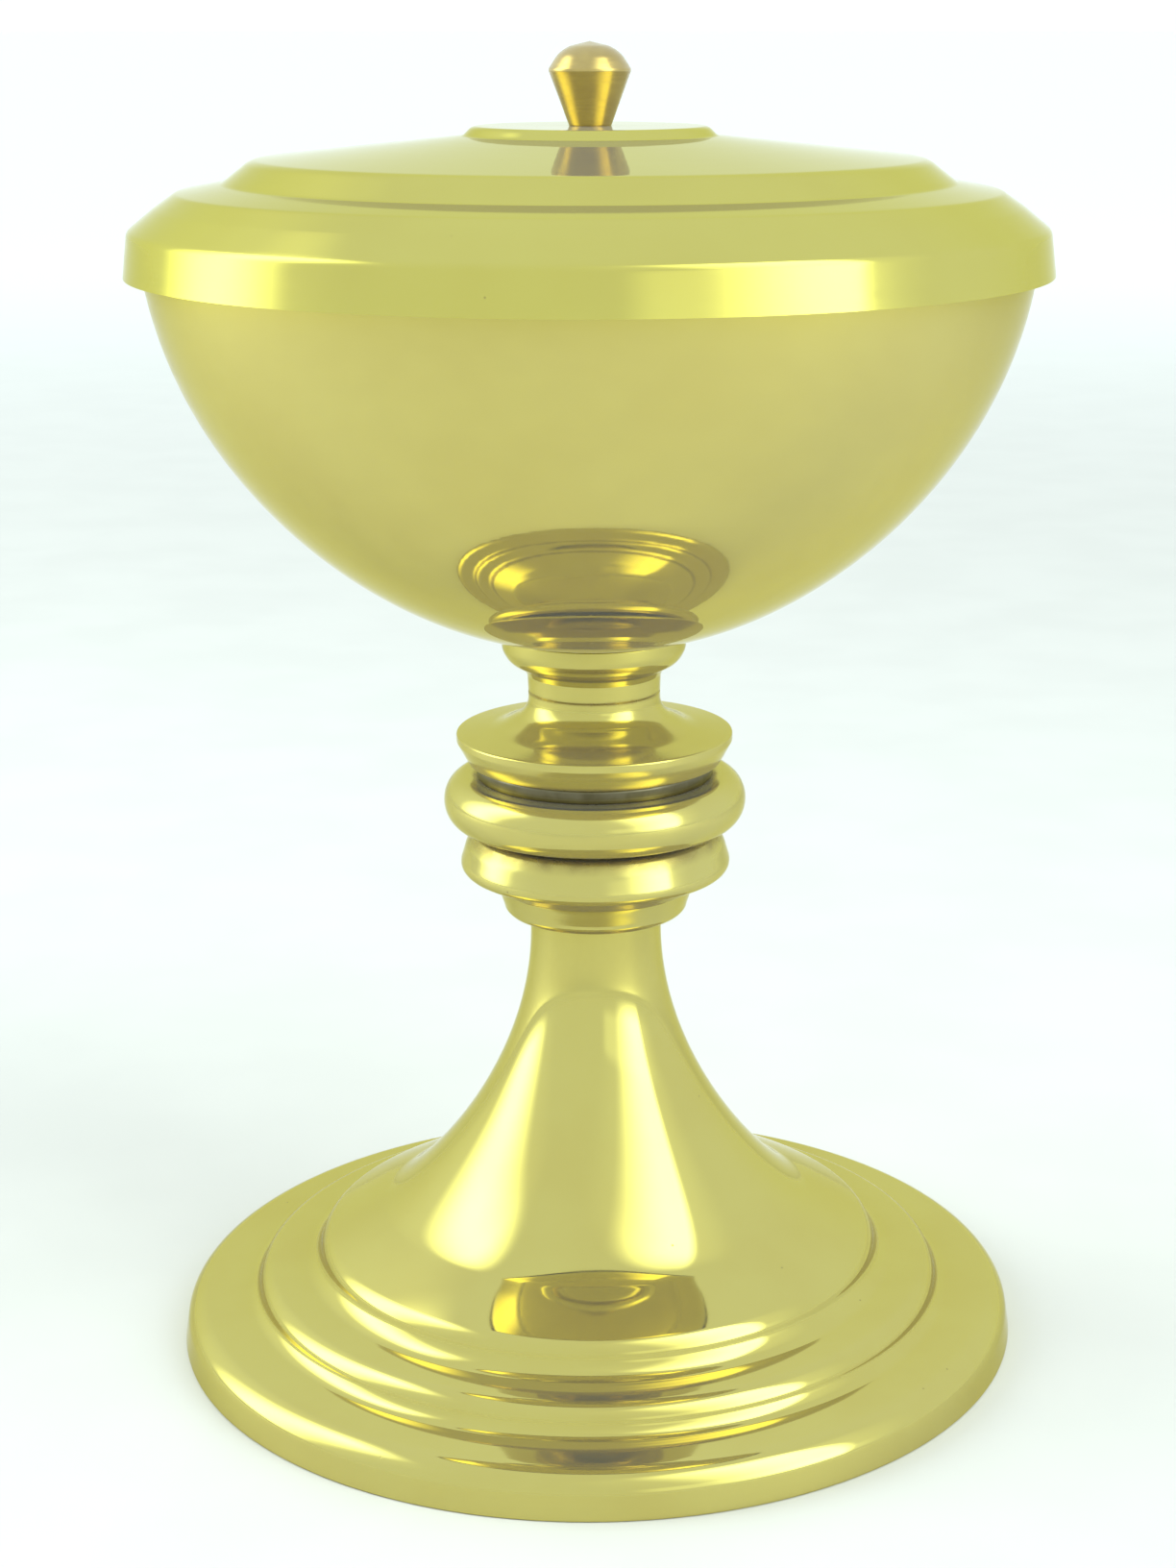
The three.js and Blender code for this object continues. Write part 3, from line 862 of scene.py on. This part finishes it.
def rings(tree, spacing_mm, arc, radius, height, angle, detail=2.0):
    """Noise that runs round the piece: lines of this spacing, broken after an arc."""
    turned = add_node(tree, "Math", [angle, spacing_mm * MM / arc], **TIMES)[0]
    where = add_node(tree, "CombineXYZ", [radius, height, turned])[0]
    look = {"Vector": where, "Scale": per_metre(spacing_mm), "Detail": detail}
    return add_node(tree, "TexNoise", look)["Fac"]


# %% [markdown]
# ## Residue and painted shade in the seams
#
# Polish dries brown in the joints, where the cloth doesn't reach. The same brown is also
# laid over the bead's top and into the knot's grooves as painted shade and painted dark
# mirror images of the rings above, and it draws dark lines along the lid's creases and
# under the bowl's rim. A picture could hold it, but a mask from the place needs no picture
# and no unwrapping. Each seam is a circle, so its mask is the distance in radius and
# height to one point. Where masks meet, the stronger one counts.

# %% Residue and painted shade
PATCH_MM = 3.0


def seam_residue_and_shade(tree, radius, height, place, seams):
    """Each seam is a radius, a height and how far its brown reaches, in millimetres. The brown is
    residue in the joints and painted shade in the knot's grooves.
    """
    here = add_node(tree, "CombineXYZ", [radius, height])[0]
    residue_and_shade = 0.0
    for seam_radius, seam_height, reach in seams:
        seam = (seam_radius * MM, seam_height * MM, 0)
        away = add_node(tree, "VectorMath", [here, seam], operation="DISTANCE")["Value"]
        mask = add_node(tree, "MapRange", [away, 0, reach * MM, 1, 0], **SMOOTH)[0]
        residue_and_shade = add_node(tree, "Math", [mask, residue_and_shade], operation="MAXIMUM")[0]
    look = {"Vector": place, "Scale": per_metre(PATCH_MM), "Detail": 2}
    patches = add_node(tree, "TexNoise", look)["Fac"]
    patchy = add_node(tree, "MapRange", [patches, 0.3, 0.7, 0.45, 1], **SMOOTH)[0]
    return add_node(tree, "Math", [residue_and_shade, patchy], **TIMES)[0]


def darken(tree, tone, mask, share, colour):
    """Lays a colour over a tone, as strong as the mask times the share."""
    strength = add_node(tree, "Math", [mask, share], **TIMES)[0]
    return add_node(tree, "Mix", {0: strength, 6: tone, 7: linear(colour)}, **COLOURS)[2]


# %% [markdown]
# ## Pits and relief
#
# Old brass has a few small pits. Every Voronoi cell has a middle and a colour by chance,
# so the middles of those cells whose chance is high make scattered dots. The pattern's
# heights are too small to model and would need millions of faces, so they are bumps.

# %% Pits and relief
PITTED_CHANCE = (0.72, 0.74)


def pits(tree, place, cell_mm, size):
    cells = add_node(tree, "TexVoronoi", {"Vector": place, "Scale": per_metre(cell_mm)})
    near = add_node(tree, "MapRange", [cells["Distance"], size / 2, size, 1, 0], **SMOOTH)[0]
    chance = add_node(tree, "SeparateColor", [cells["Color"]])[0]
    rare = add_node(tree, "MapRange", [chance, *PITTED_CHANCE, 0, 1], **SMOOTH)[0]
    return add_node(tree, "Math", [near, rare], **TIMES)[0]


def relief(tree, shader, layers):
    """Stacks bumps, each with its height in millimetres."""
    normal = None
    for pattern, height_mm in layers:
        links = {"Height": pattern, "Distance": height_mm * MM, "Strength": 1.0}
        if normal is not None:
            links["Normal"] = normal
        normal = add_node(tree, "Bump", links)["Normal"]
    tree.links.new(normal, shader.inputs["Normal"])


# %% [markdown]
# ## Polished brass
#
# Yellow brass that was buffed to a mirror and lacquered: the foot and the rings of the
# stem. The eye sees the room in it, slightly wavy from the buffing wheel, with fine
# rings from the lathe, a few pits and brown residue in the joints. In the knot's grooves
# the same brown is painted shade. Handling dulls it in smudges, and a film of dried
# polish, which is the sheen, veils the darkest mirror images. The real rings are finer
# than a tenth of a millimetre and are drawn at half a millimetre, so that they show.

# %% Polished brass
POLISHED = "#C0B45D"
DEEPER = "#BAAB52"
EDGE_ON = "#E7E1AA"
RESIDUE_SHADE_AND_PIT_BROWN = "#5E3F17"
BUFFED_RING_MM = 0.45
BUFFED_SMUDGE_MM = 17
BUFFED_WAVE_MM = 26


def polished_brass(name, film, residue_and_shade_share, seams, least_rough, most_rough):
    finish, tree, shader = new_finish(name)
    place, radius, height, angle = lathe_place(tree)
    fine_rings = rings(tree, BUFFED_RING_MM, 0.9, radius, height, angle)
    look = {"Vector": place, "Scale": per_metre(BUFFED_SMUDGE_MM), "Detail": 3}
    smudge = add_node(tree, "TexNoise", look)["Fac"]
    look = {"Vector": place, "Scale": per_metre(BUFFED_WAVE_MM), "Detail": 0}
    wave = add_node(tree, "TexNoise", look)["Fac"]
    residue_and_shade = seam_residue_and_shade(tree, radius, height, place, seams)
    pitted = pits(tree, place, 4.0, 0.045)

    deeper = add_node(tree, "MapRange", [smudge, 0.35, 0.75, 0, 0.5], **SMOOTH)[0]
    tones = {0: deeper, 6: linear(POLISHED), 7: linear(DEEPER)}
    tone = add_node(tree, "Mix", tones, **COLOURS)[2]
    # Brown residue in the joints and painted shade in the knot's grooves.
    tone = darken(tree, tone, residue_and_shade, residue_and_shade_share, RESIDUE_SHADE_AND_PIT_BROWN)
    tone = darken(tree, tone, pitted, 0.6, RESIDUE_SHADE_AND_PIT_BROWN)
    tree.links.new(tone, shader.inputs["Base Color"])

    smudged = add_node(tree, "MapRange", [smudge, 0.3, 0.8, least_rough, most_rough], **SMOOTH)[0]
    ringed = add_node(tree, "MapRange", [fine_rings, 0.4, 0.7, 0, 0.015], **SMOOTH)[0]
    rough = add_node(tree, "Math", [smudged, ringed])[0]
    seam_roughening = add_node(tree, "Math", [residue_and_shade, 0.25], **TIMES)[0]
    rough = add_node(tree, "Math", [rough, seam_roughening])[0]
    tree.links.new(rough, shader.inputs["Roughness"])

    shader.inputs["Metallic"].default_value = 1.0
    shader.inputs["Specular Tint"].default_value = linear(EDGE_ON)
    shader.inputs["Sheen Weight"].default_value = film
    shader.inputs["Sheen Roughness"].default_value = 1.0
    relief(tree, shader, [(wave, 0.02), (fine_rings, 0.0004), (pitted, -0.02)])
    print(name, "nodes:", len(tree.nodes))
    return finish


neck_seam = (NECK_RADIUS, FOOT_TOP, 0.35)
knot_seams = [
    neck_seam,
    # Painted shade: this band over the bead's top and the rings at the knot's two grooves stand for
    # the shade and the dark mirror images of the rings above them.
    (18.4, BEAD_TOP - 0.6, 2.1),
    (17.3, KNOT_BOTTOM, 0.5),
    (17.7, KNOT_TOP, 0.8),
    (THROAT, FLANGE_TOP, 0.5),
]
foot_finish = polished_brass(
    "foot_polished_brass", film=0.09, residue_and_shade_share=0.35, seams=[neck_seam], least_rough=0.04, most_rough=0.06
)
knot_finish = polished_brass(
    "knot_polished_brass", film=0.12, residue_and_shade_share=0.6, seams=knot_seams, least_rough=0.10, most_rough=0.15
)

# %% [markdown]
# ## Spun brass
#
# The bowl and the lid were left with the satin that a cloth makes while the piece turns.
# Its lines run round, so a light smears up and down but stays sharp from side to side.
# That is what the anisotropy is for. The real lines are finer than a tenth of a
# millimetre and are drawn four times as coarse, so that they show. The satin changes
# with the height: the bottom of the bowl and the top of the lid are nearly mirrors.

# %% Spun brass
BOWL_TONES = ("#C3B55A", "#BDAD50", EDGE_ON)
LID_TONES = ("#C1B750", "#BBAF48", "#E3DF9E")
SPUN_RING_MM = 0.4
TOOL_RING_MM = 2.6
SPUN_SMUDGE_MM = 24


def spun_brass(name, tones, film, seams, rough, heights):
    """The three tones are bright, deeper and seen edge on. The roughness goes from the
    first value to the second between the two heights."""
    finish, tree, shader = new_finish(name)
    place, radius, height, angle = lathe_place(tree)
    fine_rings = rings(tree, SPUN_RING_MM, 1.3, radius, height, angle)
    wide_rings = rings(tree, TOOL_RING_MM, 2.4, radius, height, angle)
    look = {"Vector": place, "Scale": per_metre(SPUN_SMUDGE_MM), "Detail": 3}
    smudge = add_node(tree, "TexNoise", look)["Fac"]
    residue_and_shade = seam_residue_and_shade(tree, radius, height, place, seams)
    pitted = pits(tree, place, 5.0, 0.04)

    deeper = add_node(tree, "MapRange", [smudge, 0.3, 0.75, 0, 0.6], **SMOOTH)[0]
    links = {0: deeper, 6: linear(tones[0]), 7: linear(tones[1])}
    tone = add_node(tree, "Mix", links, **COLOURS)[2]
    tone = darken(tree, tone, residue_and_shade, 0.3, RESIDUE_SHADE_AND_PIT_BROWN)
    tone = darken(tree, tone, pitted, 0.5, RESIDUE_SHADE_AND_PIT_BROWN)
    tree.links.new(tone, shader.inputs["Base Color"])

    levels = [height, heights[0] * MM, heights[1] * MM, *rough]
    satin = add_node(tree, "MapRange", levels, **SMOOTH)[0]
    for pattern, most in ((smudge, 0.8), (wide_rings, 0.7)):
        uneven = add_node(tree, "MapRange", [pattern, 0.3, most, 0.85, 1.25], **SMOOTH)[0]
        satin = add_node(tree, "Math", [satin, uneven], **TIMES)[0]
    seam_roughening = add_node(tree, "Math", [residue_and_shade, 0.2], **TIMES)[0]
    satin = add_node(tree, "Math", [satin, seam_roughening])[0]
    tree.links.new(satin, shader.inputs["Roughness"])

    shader.inputs["Metallic"].default_value = 1.0
    shader.inputs["Anisotropic"].default_value = 0.4
    shader.inputs["Specular Tint"].default_value = linear(tones[2])
    shader.inputs["Sheen Weight"].default_value = film
    shader.inputs["Sheen Roughness"].default_value = 1.0
    relief(tree, shader, [(wide_rings, 0.006), (fine_rings, 0.0008), (pitted, -0.02)])
    print(name, "nodes:", len(tree.nodes))
    return finish


bowl_seams = [(BOWL_RIM, rim_height - 4, 0.35)]
lid_seams = [
    (57.9, SKIRT_EDGE + 9.2, 0.3),
    (47.6, SKIRT_EDGE + 12.4, 0.3),
    (3.0, LID_TOP, 0.35),
]
bowl_finish = spun_brass(
    "bowl_spun_brass",
    tones=BOWL_TONES,
    film=0.14,
    seams=bowl_seams,
    rough=(0.04, 0.12),
    heights=(BOWL_BOTTOM + 18, BOWL_BOTTOM + 40),
)
lid_finish = spun_brass(
    "lid_spun_brass",
    tones=LID_TONES,
    film=0.11,
    seams=lid_seams,
    rough=(0.10, 0.05),
    heights=(SKIRT_EDGE, SKIRT_EDGE + 14),
)

# %% [markdown]
# ## The knob's brass
#
# The knob was turned from another bar, which is deeper and redder, and fingers keep it
# from tarnishing evenly. It has a satin with rings that show, so here the rings steer
# the roughness and the relief, and no mirror is left.

# %% Knob brass
KNOB_RING_MM = 0.3
TOUCH_MM = 4

knob_finish, tree, shader = new_finish("knob_turned_brass")
place, radius, height, angle = lathe_place(tree)
fine_rings = rings(tree, KNOB_RING_MM, 1.2, radius, height, angle)
look = {"Vector": place, "Scale": per_metre(TOUCH_MM), "Detail": 3}
touch = add_node(tree, "TexNoise", look)["Fac"]
touched = add_node(tree, "MapRange", [touch, 0.35, 0.7, 0, 0.8], **SMOOTH)[0]
tones = {0: touched, 6: linear("#B49C52"), 7: linear("#A48A42")}
tree.links.new(add_node(tree, "Mix", tones, **COLOURS)[2], shader.inputs["Base Color"])
rough = add_node(tree, "MapRange", [fine_rings, 0.3, 0.7, 0.16, 0.26], **SMOOTH)[0]
tree.links.new(rough, shader.inputs["Roughness"])
shader.inputs["Metallic"].default_value = 1.0
shader.inputs["Anisotropic"].default_value = 0.5
shader.inputs["Sheen Weight"].default_value = 0.14
shader.inputs["Sheen Roughness"].default_value = 1.0
relief(tree, shader, [(fine_rings, 0.003)])
print(knob_finish.name, "nodes:", len(tree.nodes))

# %% [markdown]
# ## Raw brass
#
# The washers and the boss are never seen, so they keep the dull skin that cutting and
# handling leave: brownish, uneven and scratched round. One noise gives both the brown
# and the roughness, because tarnish is darker and duller in the same places.

# %% Raw brass
TOOL_MARK_MM = 0.35
TARNISH_MM = 5

raw_finish, tree, shader = new_finish("raw_cut_brass")
place, radius, height, angle = lathe_place(tree)
tool_marks = rings(tree, TOOL_MARK_MM, 2.0, radius, height, angle, 1.0)
look = {"Vector": place, "Scale": per_metre(TARNISH_MM), "Detail": 4}
tarnish = add_node(tree, "TexNoise", look)["Fac"]
browned = add_node(tree, "MapRange", [tarnish, 0.3, 0.7, 0, 1], **SMOOTH)[0]
tones = {0: browned, 6: linear("#B59C55"), 7: linear("#8C7238")}
tree.links.new(add_node(tree, "Mix", tones, **COLOURS)[2], shader.inputs["Base Color"])
rough = add_node(tree, "MapRange", [tarnish, 0.3, 0.7, 0.32, 0.5], **SMOOTH)[0]
tree.links.new(rough, shader.inputs["Roughness"])
shader.inputs["Metallic"].default_value = 1.0
relief(tree, shader, [(tool_marks, 0.01)])
print(raw_finish.name, "nodes:", len(tree.nodes))

# %% [markdown]
# ## Dark brass of the spacers
#
# The spacers in the grooves are coloured a dark olive grey with a dull sheen, lighter in
# rings where a cloth has rubbed. It is still a metal, so it stays metallic and only its
# colour and roughness make it dark.

# %% Dark brass of the spacers
CRUST_MM = 3
RUB_MM = 0.6

black_finish, tree, shader = new_finish("blackened_brass")
place, radius, height, angle = lathe_place(tree)
rub = rings(tree, RUB_MM, 30.0, radius, height, angle)
look = {"Vector": place, "Scale": per_metre(CRUST_MM), "Detail": 3}
crust = add_node(tree, "TexNoise", look)["Fac"]
crusted = add_node(tree, "MapRange", [crust, 0.3, 0.75, 0, 1], **SMOOTH)[0]
tones = {0: crusted, 6: linear("#6C6652"), 7: linear("#5A543F")}
tone = add_node(tree, "Mix", tones, **COLOURS)[2]
rubbed = add_node(tree, "MapRange", [rub, 0.45, 0.75, 0, 0.6], **SMOOTH)[0]
tone = add_node(tree, "Mix", {0: rubbed, 6: tone, 7: linear("#8A836B")}, **COLOURS)[2]
tree.links.new(tone, shader.inputs["Base Color"])
rough = add_node(tree, "MapRange", [crust, 0.3, 0.7, 0.28, 0.36], **SMOOTH)[0]
tree.links.new(rough, shader.inputs["Roughness"])
shader.inputs["Metallic"].default_value = 1.0
relief(tree, shader, [(crust, 0.004), (rub, 0.002)])
print(black_finish.name, "nodes:", len(tree.nodes))

# %% [markdown]
# ## Zinc on steel
#
# The rod, the nut and the screw are bright zinc plated steel: pale, slightly blue, with
# the cloudy spangle of the plating bath and yellowish stains from handling. Plating
# has no direction, so its noises read the place itself and not the rings.

# %% Zinc plated steel
SPANGLE_MM = 1.6
STAIN_MM = 7

zinc_finish, tree, shader = new_finish("zinc_plated_steel")
place = add_node(tree, "TexCoord")["Object"]
look = {"Vector": place, "Scale": per_metre(SPANGLE_MM), "Detail": 3}
spangle = add_node(tree, "TexNoise", look)["Fac"]
look = {"Vector": place, "Scale": per_metre(STAIN_MM), "Detail": 3}
stain = add_node(tree, "TexNoise", look)["Fac"]
clouded = add_node(tree, "MapRange", [spangle, 0.35, 0.65, 0, 1], **SMOOTH)[0]
tones = {0: clouded, 6: linear("#C9CBCB"), 7: linear("#A9ABAA")}
tone = add_node(tree, "Mix", tones, **COLOURS)[2]
stained = add_node(tree, "MapRange", [stain, 0.55, 0.8, 0, 0.6], **SMOOTH)[0]
tone = add_node(tree, "Mix", {0: stained, 6: tone, 7: linear("#B3A57A")}, **COLOURS)[2]
tree.links.new(tone, shader.inputs["Base Color"])
rough = add_node(tree, "MapRange", [spangle, 0.3, 0.7, 0.22, 0.4], **SMOOTH)[0]
tree.links.new(rough, shader.inputs["Roughness"])
shader.inputs["Metallic"].default_value = 1.0
relief(tree, shader, [(spangle, 0.008)])
print(zinc_finish.name, "nodes:", len(tree.nodes))

# %% [markdown]
# ## Putting the finishes on
#
# Each piece has one finish. A slot that a new mesh may have is cleared first, so that
# the finish is the only one.

# %% Put the finishes on
FINISHES = {
    foot_finish: [foot],
    knot_finish: [bead_ring, knot_ring, flange, collar],
    bowl_finish: [bowl],
    lid_finish: [lid_cover],
    knob_finish: [knob],
    raw_finish: [boss, clamp_washer, knob_washer],
    black_finish: [lower_spacer, upper_spacer],
    zinc_finish: [tie_rod, nut, knob_screw],
}
for finish, finished in FINISHES.items():
    for piece in finished:
        piece.data.materials.clear()
        piece.data.materials.append(finish)
    print(finish.name, "on", [piece.name for piece in finished])

# %% [markdown]
# ## The table and the room
#
# A mirror shows its surroundings, so most of the look of polished metal is the room. It
# is plain here: a pale table and an even pale light from all round. Near the foot the
# table's colour is darker, as painted shade that makes up for the soft boxes lighting it
# there more than far off. The light has a little less red in it, which keeps the brass a
# cool yellow.

# %% The table
TABLE_RADIUS = 30.0
TABLE_NEAR = 0.5
TABLE_FAR = 2.0
GRAIN_MM = 40

bpy.ops.object.select_all(action="DESELECT")
bpy.ops.mesh.primitive_circle_add(vertices=96, radius=TABLE_RADIUS, fill_type="NGON")
table = bpy.context.object
table.name = "floor"
paint, tree, shader = new_finish("pale_table_paint")
place, radius, height, angle = lathe_place(tree)
look = {"Vector": place, "Scale": per_metre(GRAIN_MM), "Detail": 2}
grain = add_node(tree, "TexNoise", look)["Fac"]
grained = add_node(tree, "MapRange", [grain, 0.3, 0.7, 0, 1], **SMOOTH)[0]
tones = {0: grained, 6: linear("#CFCECA"), 7: linear("#CCCBC7")}
near_tone = add_node(tree, "Mix", tones, **COLOURS)[2]
# Painted shade: the table is darker within half a metre of the foot, where the soft boxes light it
# most.
far_off = add_node(tree, "MapRange", [radius, TABLE_NEAR, TABLE_FAR, 0, 1], **SMOOTH)[0]
tones = {0: far_off, 6: near_tone, 7: linear("#FCFCFA")}
tree.links.new(add_node(tree, "Mix", tones, **COLOURS)[2], shader.inputs["Base Color"])
shader.inputs["Roughness"].default_value = 0.7
shader.inputs["Specular IOR Level"].default_value = 0.2
table.data.materials.append(paint)
print("table:", 2 * TABLE_RADIUS, "m across")

# %% [markdown]
# ## The room's light
#
# A picture of a real room would bring its own shapes into the mirror. A single colour
# all round keeps the brass calm, and the soft boxes then draw the only strips in it.

# %% The room's light
DAYLIGHT = (0.9, 1.0, 1.0)
ROOM_BRIGHTNESS = 1.12
room = bpy.data.worlds.new("pale_room")
room.use_nodes = True
walls = room.node_tree.nodes["Background"]
walls.inputs["Color"].default_value = (*DAYLIGHT, 1)
walls.inputs["Strength"].default_value = ROOM_BRIGHTNESS
bpy.context.scene.world = room
print("room:", DAYLIGHT, "times", ROOM_BRIGHTNESS)

# %% [markdown]
# ## The soft boxes
#
# A large soft box stands on each side, a little behind on the left and in front on the
# right. They give the tall bright strips on the stem. A third one, low on the right, is
# weak and only lifts the mirror image on the lid's band. A plain area light would give
# each strip a hard outline. Here its nodes let the light fall off towards its edges, as
# the cloth of a real soft box does.

# %% The glow of the cloth
BOX_HALO = 0.06


def along_cloth(angles, middle, half):
    """Where on the cloth each direction falls, from 0 at its start to 1 at its end."""
    return [0.5 + math.tan(math.radians(angle) - middle) / math.tan(half) / 2 for angle in angles]


def cloth_glow(tree, columns, rows):
    """Both are four places on the cloth: the glow fades in between the first two and out
    between the last two. A faint halo reaches to the sides of the cloth."""
    on_cloth = add_node(tree, "NewGeometry")["Parametric"]
    across, up, _ = add_node(tree, "SeparateXYZ", [on_cloth])
    fades = [
        (across, columns[0], columns[1], 0, 1),
        (across, columns[2], columns[3], 1, 0),
        (across, 0, columns[1], 0, BOX_HALO),
        (across, columns[2], 1, 1, 0),
        (up, rows[0], rows[1], 0, 1),
        (up, rows[2], rows[3], 1, 0),
    ]
    core_in, core_out, halo_in, halo_out, row_in, row_out = [
        add_node(tree, "MapRange", fade, **SMOOTH)[0] for fade in fades
    ]
    core = add_node(tree, "Math", [core_in, core_out], **TIMES)[0]
    halo = add_node(tree, "Math", [halo_in, halo_out], **TIMES)[0]
    glow = add_node(tree, "Math", [core, halo])[0]
    for fade in (row_in, row_out):
        glow = add_node(tree, "Math", [glow, fade], **TIMES)[0]
    return glow


# %% [markdown]
# ## Standing the soft boxes up
#
# A strip's place on the brass follows from the direction that its light comes from, so
# each box is given by angles. Azimuth 0 is on the camera's side and grows to its right,
# and the rows are angles above the level of the stem.

# %% Soft boxes
AIM = Vector((0, 0, 0.1))
BOX_AWAY = 1.0


def soft_box(name, cloth, lit, rows, brightness):
    middle = math.radians(cloth[0] + cloth[1]) / 2
    half = math.radians(cloth[1] - cloth[0]) / 2
    rise = math.radians(rows[0] + rows[3]) / 2
    half_rise = math.radians(rows[3] - rows[0]) / 2
    level = math.cos(rise)
    away = Vector((math.sin(middle) * level, -math.cos(middle) * level, math.sin(rise)))

    lamp = bpy.data.lights.new(name, "AREA")
    lamp.shape = "RECTANGLE"
    lamp.size = 2 * BOX_AWAY * math.tan(half)
    lamp.size_y = 2 * BOX_AWAY * math.tan(half_rise)
    lamp.energy = brightness * math.pi * lamp.size * lamp.size_y
    lamp.color = DAYLIGHT
    lamp.use_nodes = True
    tree = lamp.node_tree
    glow = cloth_glow(tree, along_cloth(lit, middle, half), along_cloth(rows, rise, half_rise))
    tree.links.new(glow, tree.nodes["Emission"].inputs["Strength"])

    box = bpy.data.objects.new(name, lamp)
    box.location = AIM + away * BOX_AWAY
    box.rotation_euler = away.to_track_quat("Z", "Y").to_euler()
    bpy.context.scene.collection.objects.link(box)
    print(name, "at", [round(part, 2) for part in box.location])


BOXES = [
    ("soft_box_left", (-155, -55), (-124, -99, -97, -70), (-3, 4, 46, 60), 4.6),
    ("soft_box_right", (4, 92), (24, 60, 66, 72), (-3, 4, 58, 72), 4.2),
    ("low_box_right", (6, 84), (8, 18, 60, 80), (0, 5, 14, 20), 0.35),
]
for name, cloth, lit, rows, brightness in BOXES:
    soft_box(name, cloth, lit, rows, brightness)

# %% [markdown]
# ## The camera
#
# The camera stands close, a little above the lid, and looks down at the foot. That is
# why the foot's brim shows as a wide ellipse while the lid is almost seen from the side.
# The cup stands left of the middle of its view, so the view is shifted and not turned.

# %% Camera
CAMERA_AWAY = 0.394
CAMERA_ASIDE = 0.0104
CAMERA_HEIGHT = 0.196
LOOKS_DOWN = math.radians(15.66)
FRAME_HEIGHT = 1632
LEFT_OF_MIDDLE = 80

lens = bpy.data.cameras.new("camera")
lens.sensor_fit = "VERTICAL"
lens.sensor_height = 36
lens.lens = 63.18
lens.shift_x = -LEFT_OF_MIDDLE / FRAME_HEIGHT
camera = bpy.data.objects.new("camera", lens)
stand = Matrix.Translation((CAMERA_ASIDE, -CAMERA_AWAY, CAMERA_HEIGHT))
camera.matrix_world = stand @ Matrix.Rotation(math.pi / 2 - LOOKS_DOWN, 4, "X")
bpy.context.scene.collection.objects.link(camera)
bpy.context.scene.camera = camera
bpy.context.scene.view_settings.view_transform = "Standard"
print("camera at", [round(part, 3) for part in camera.matrix_world.translation])
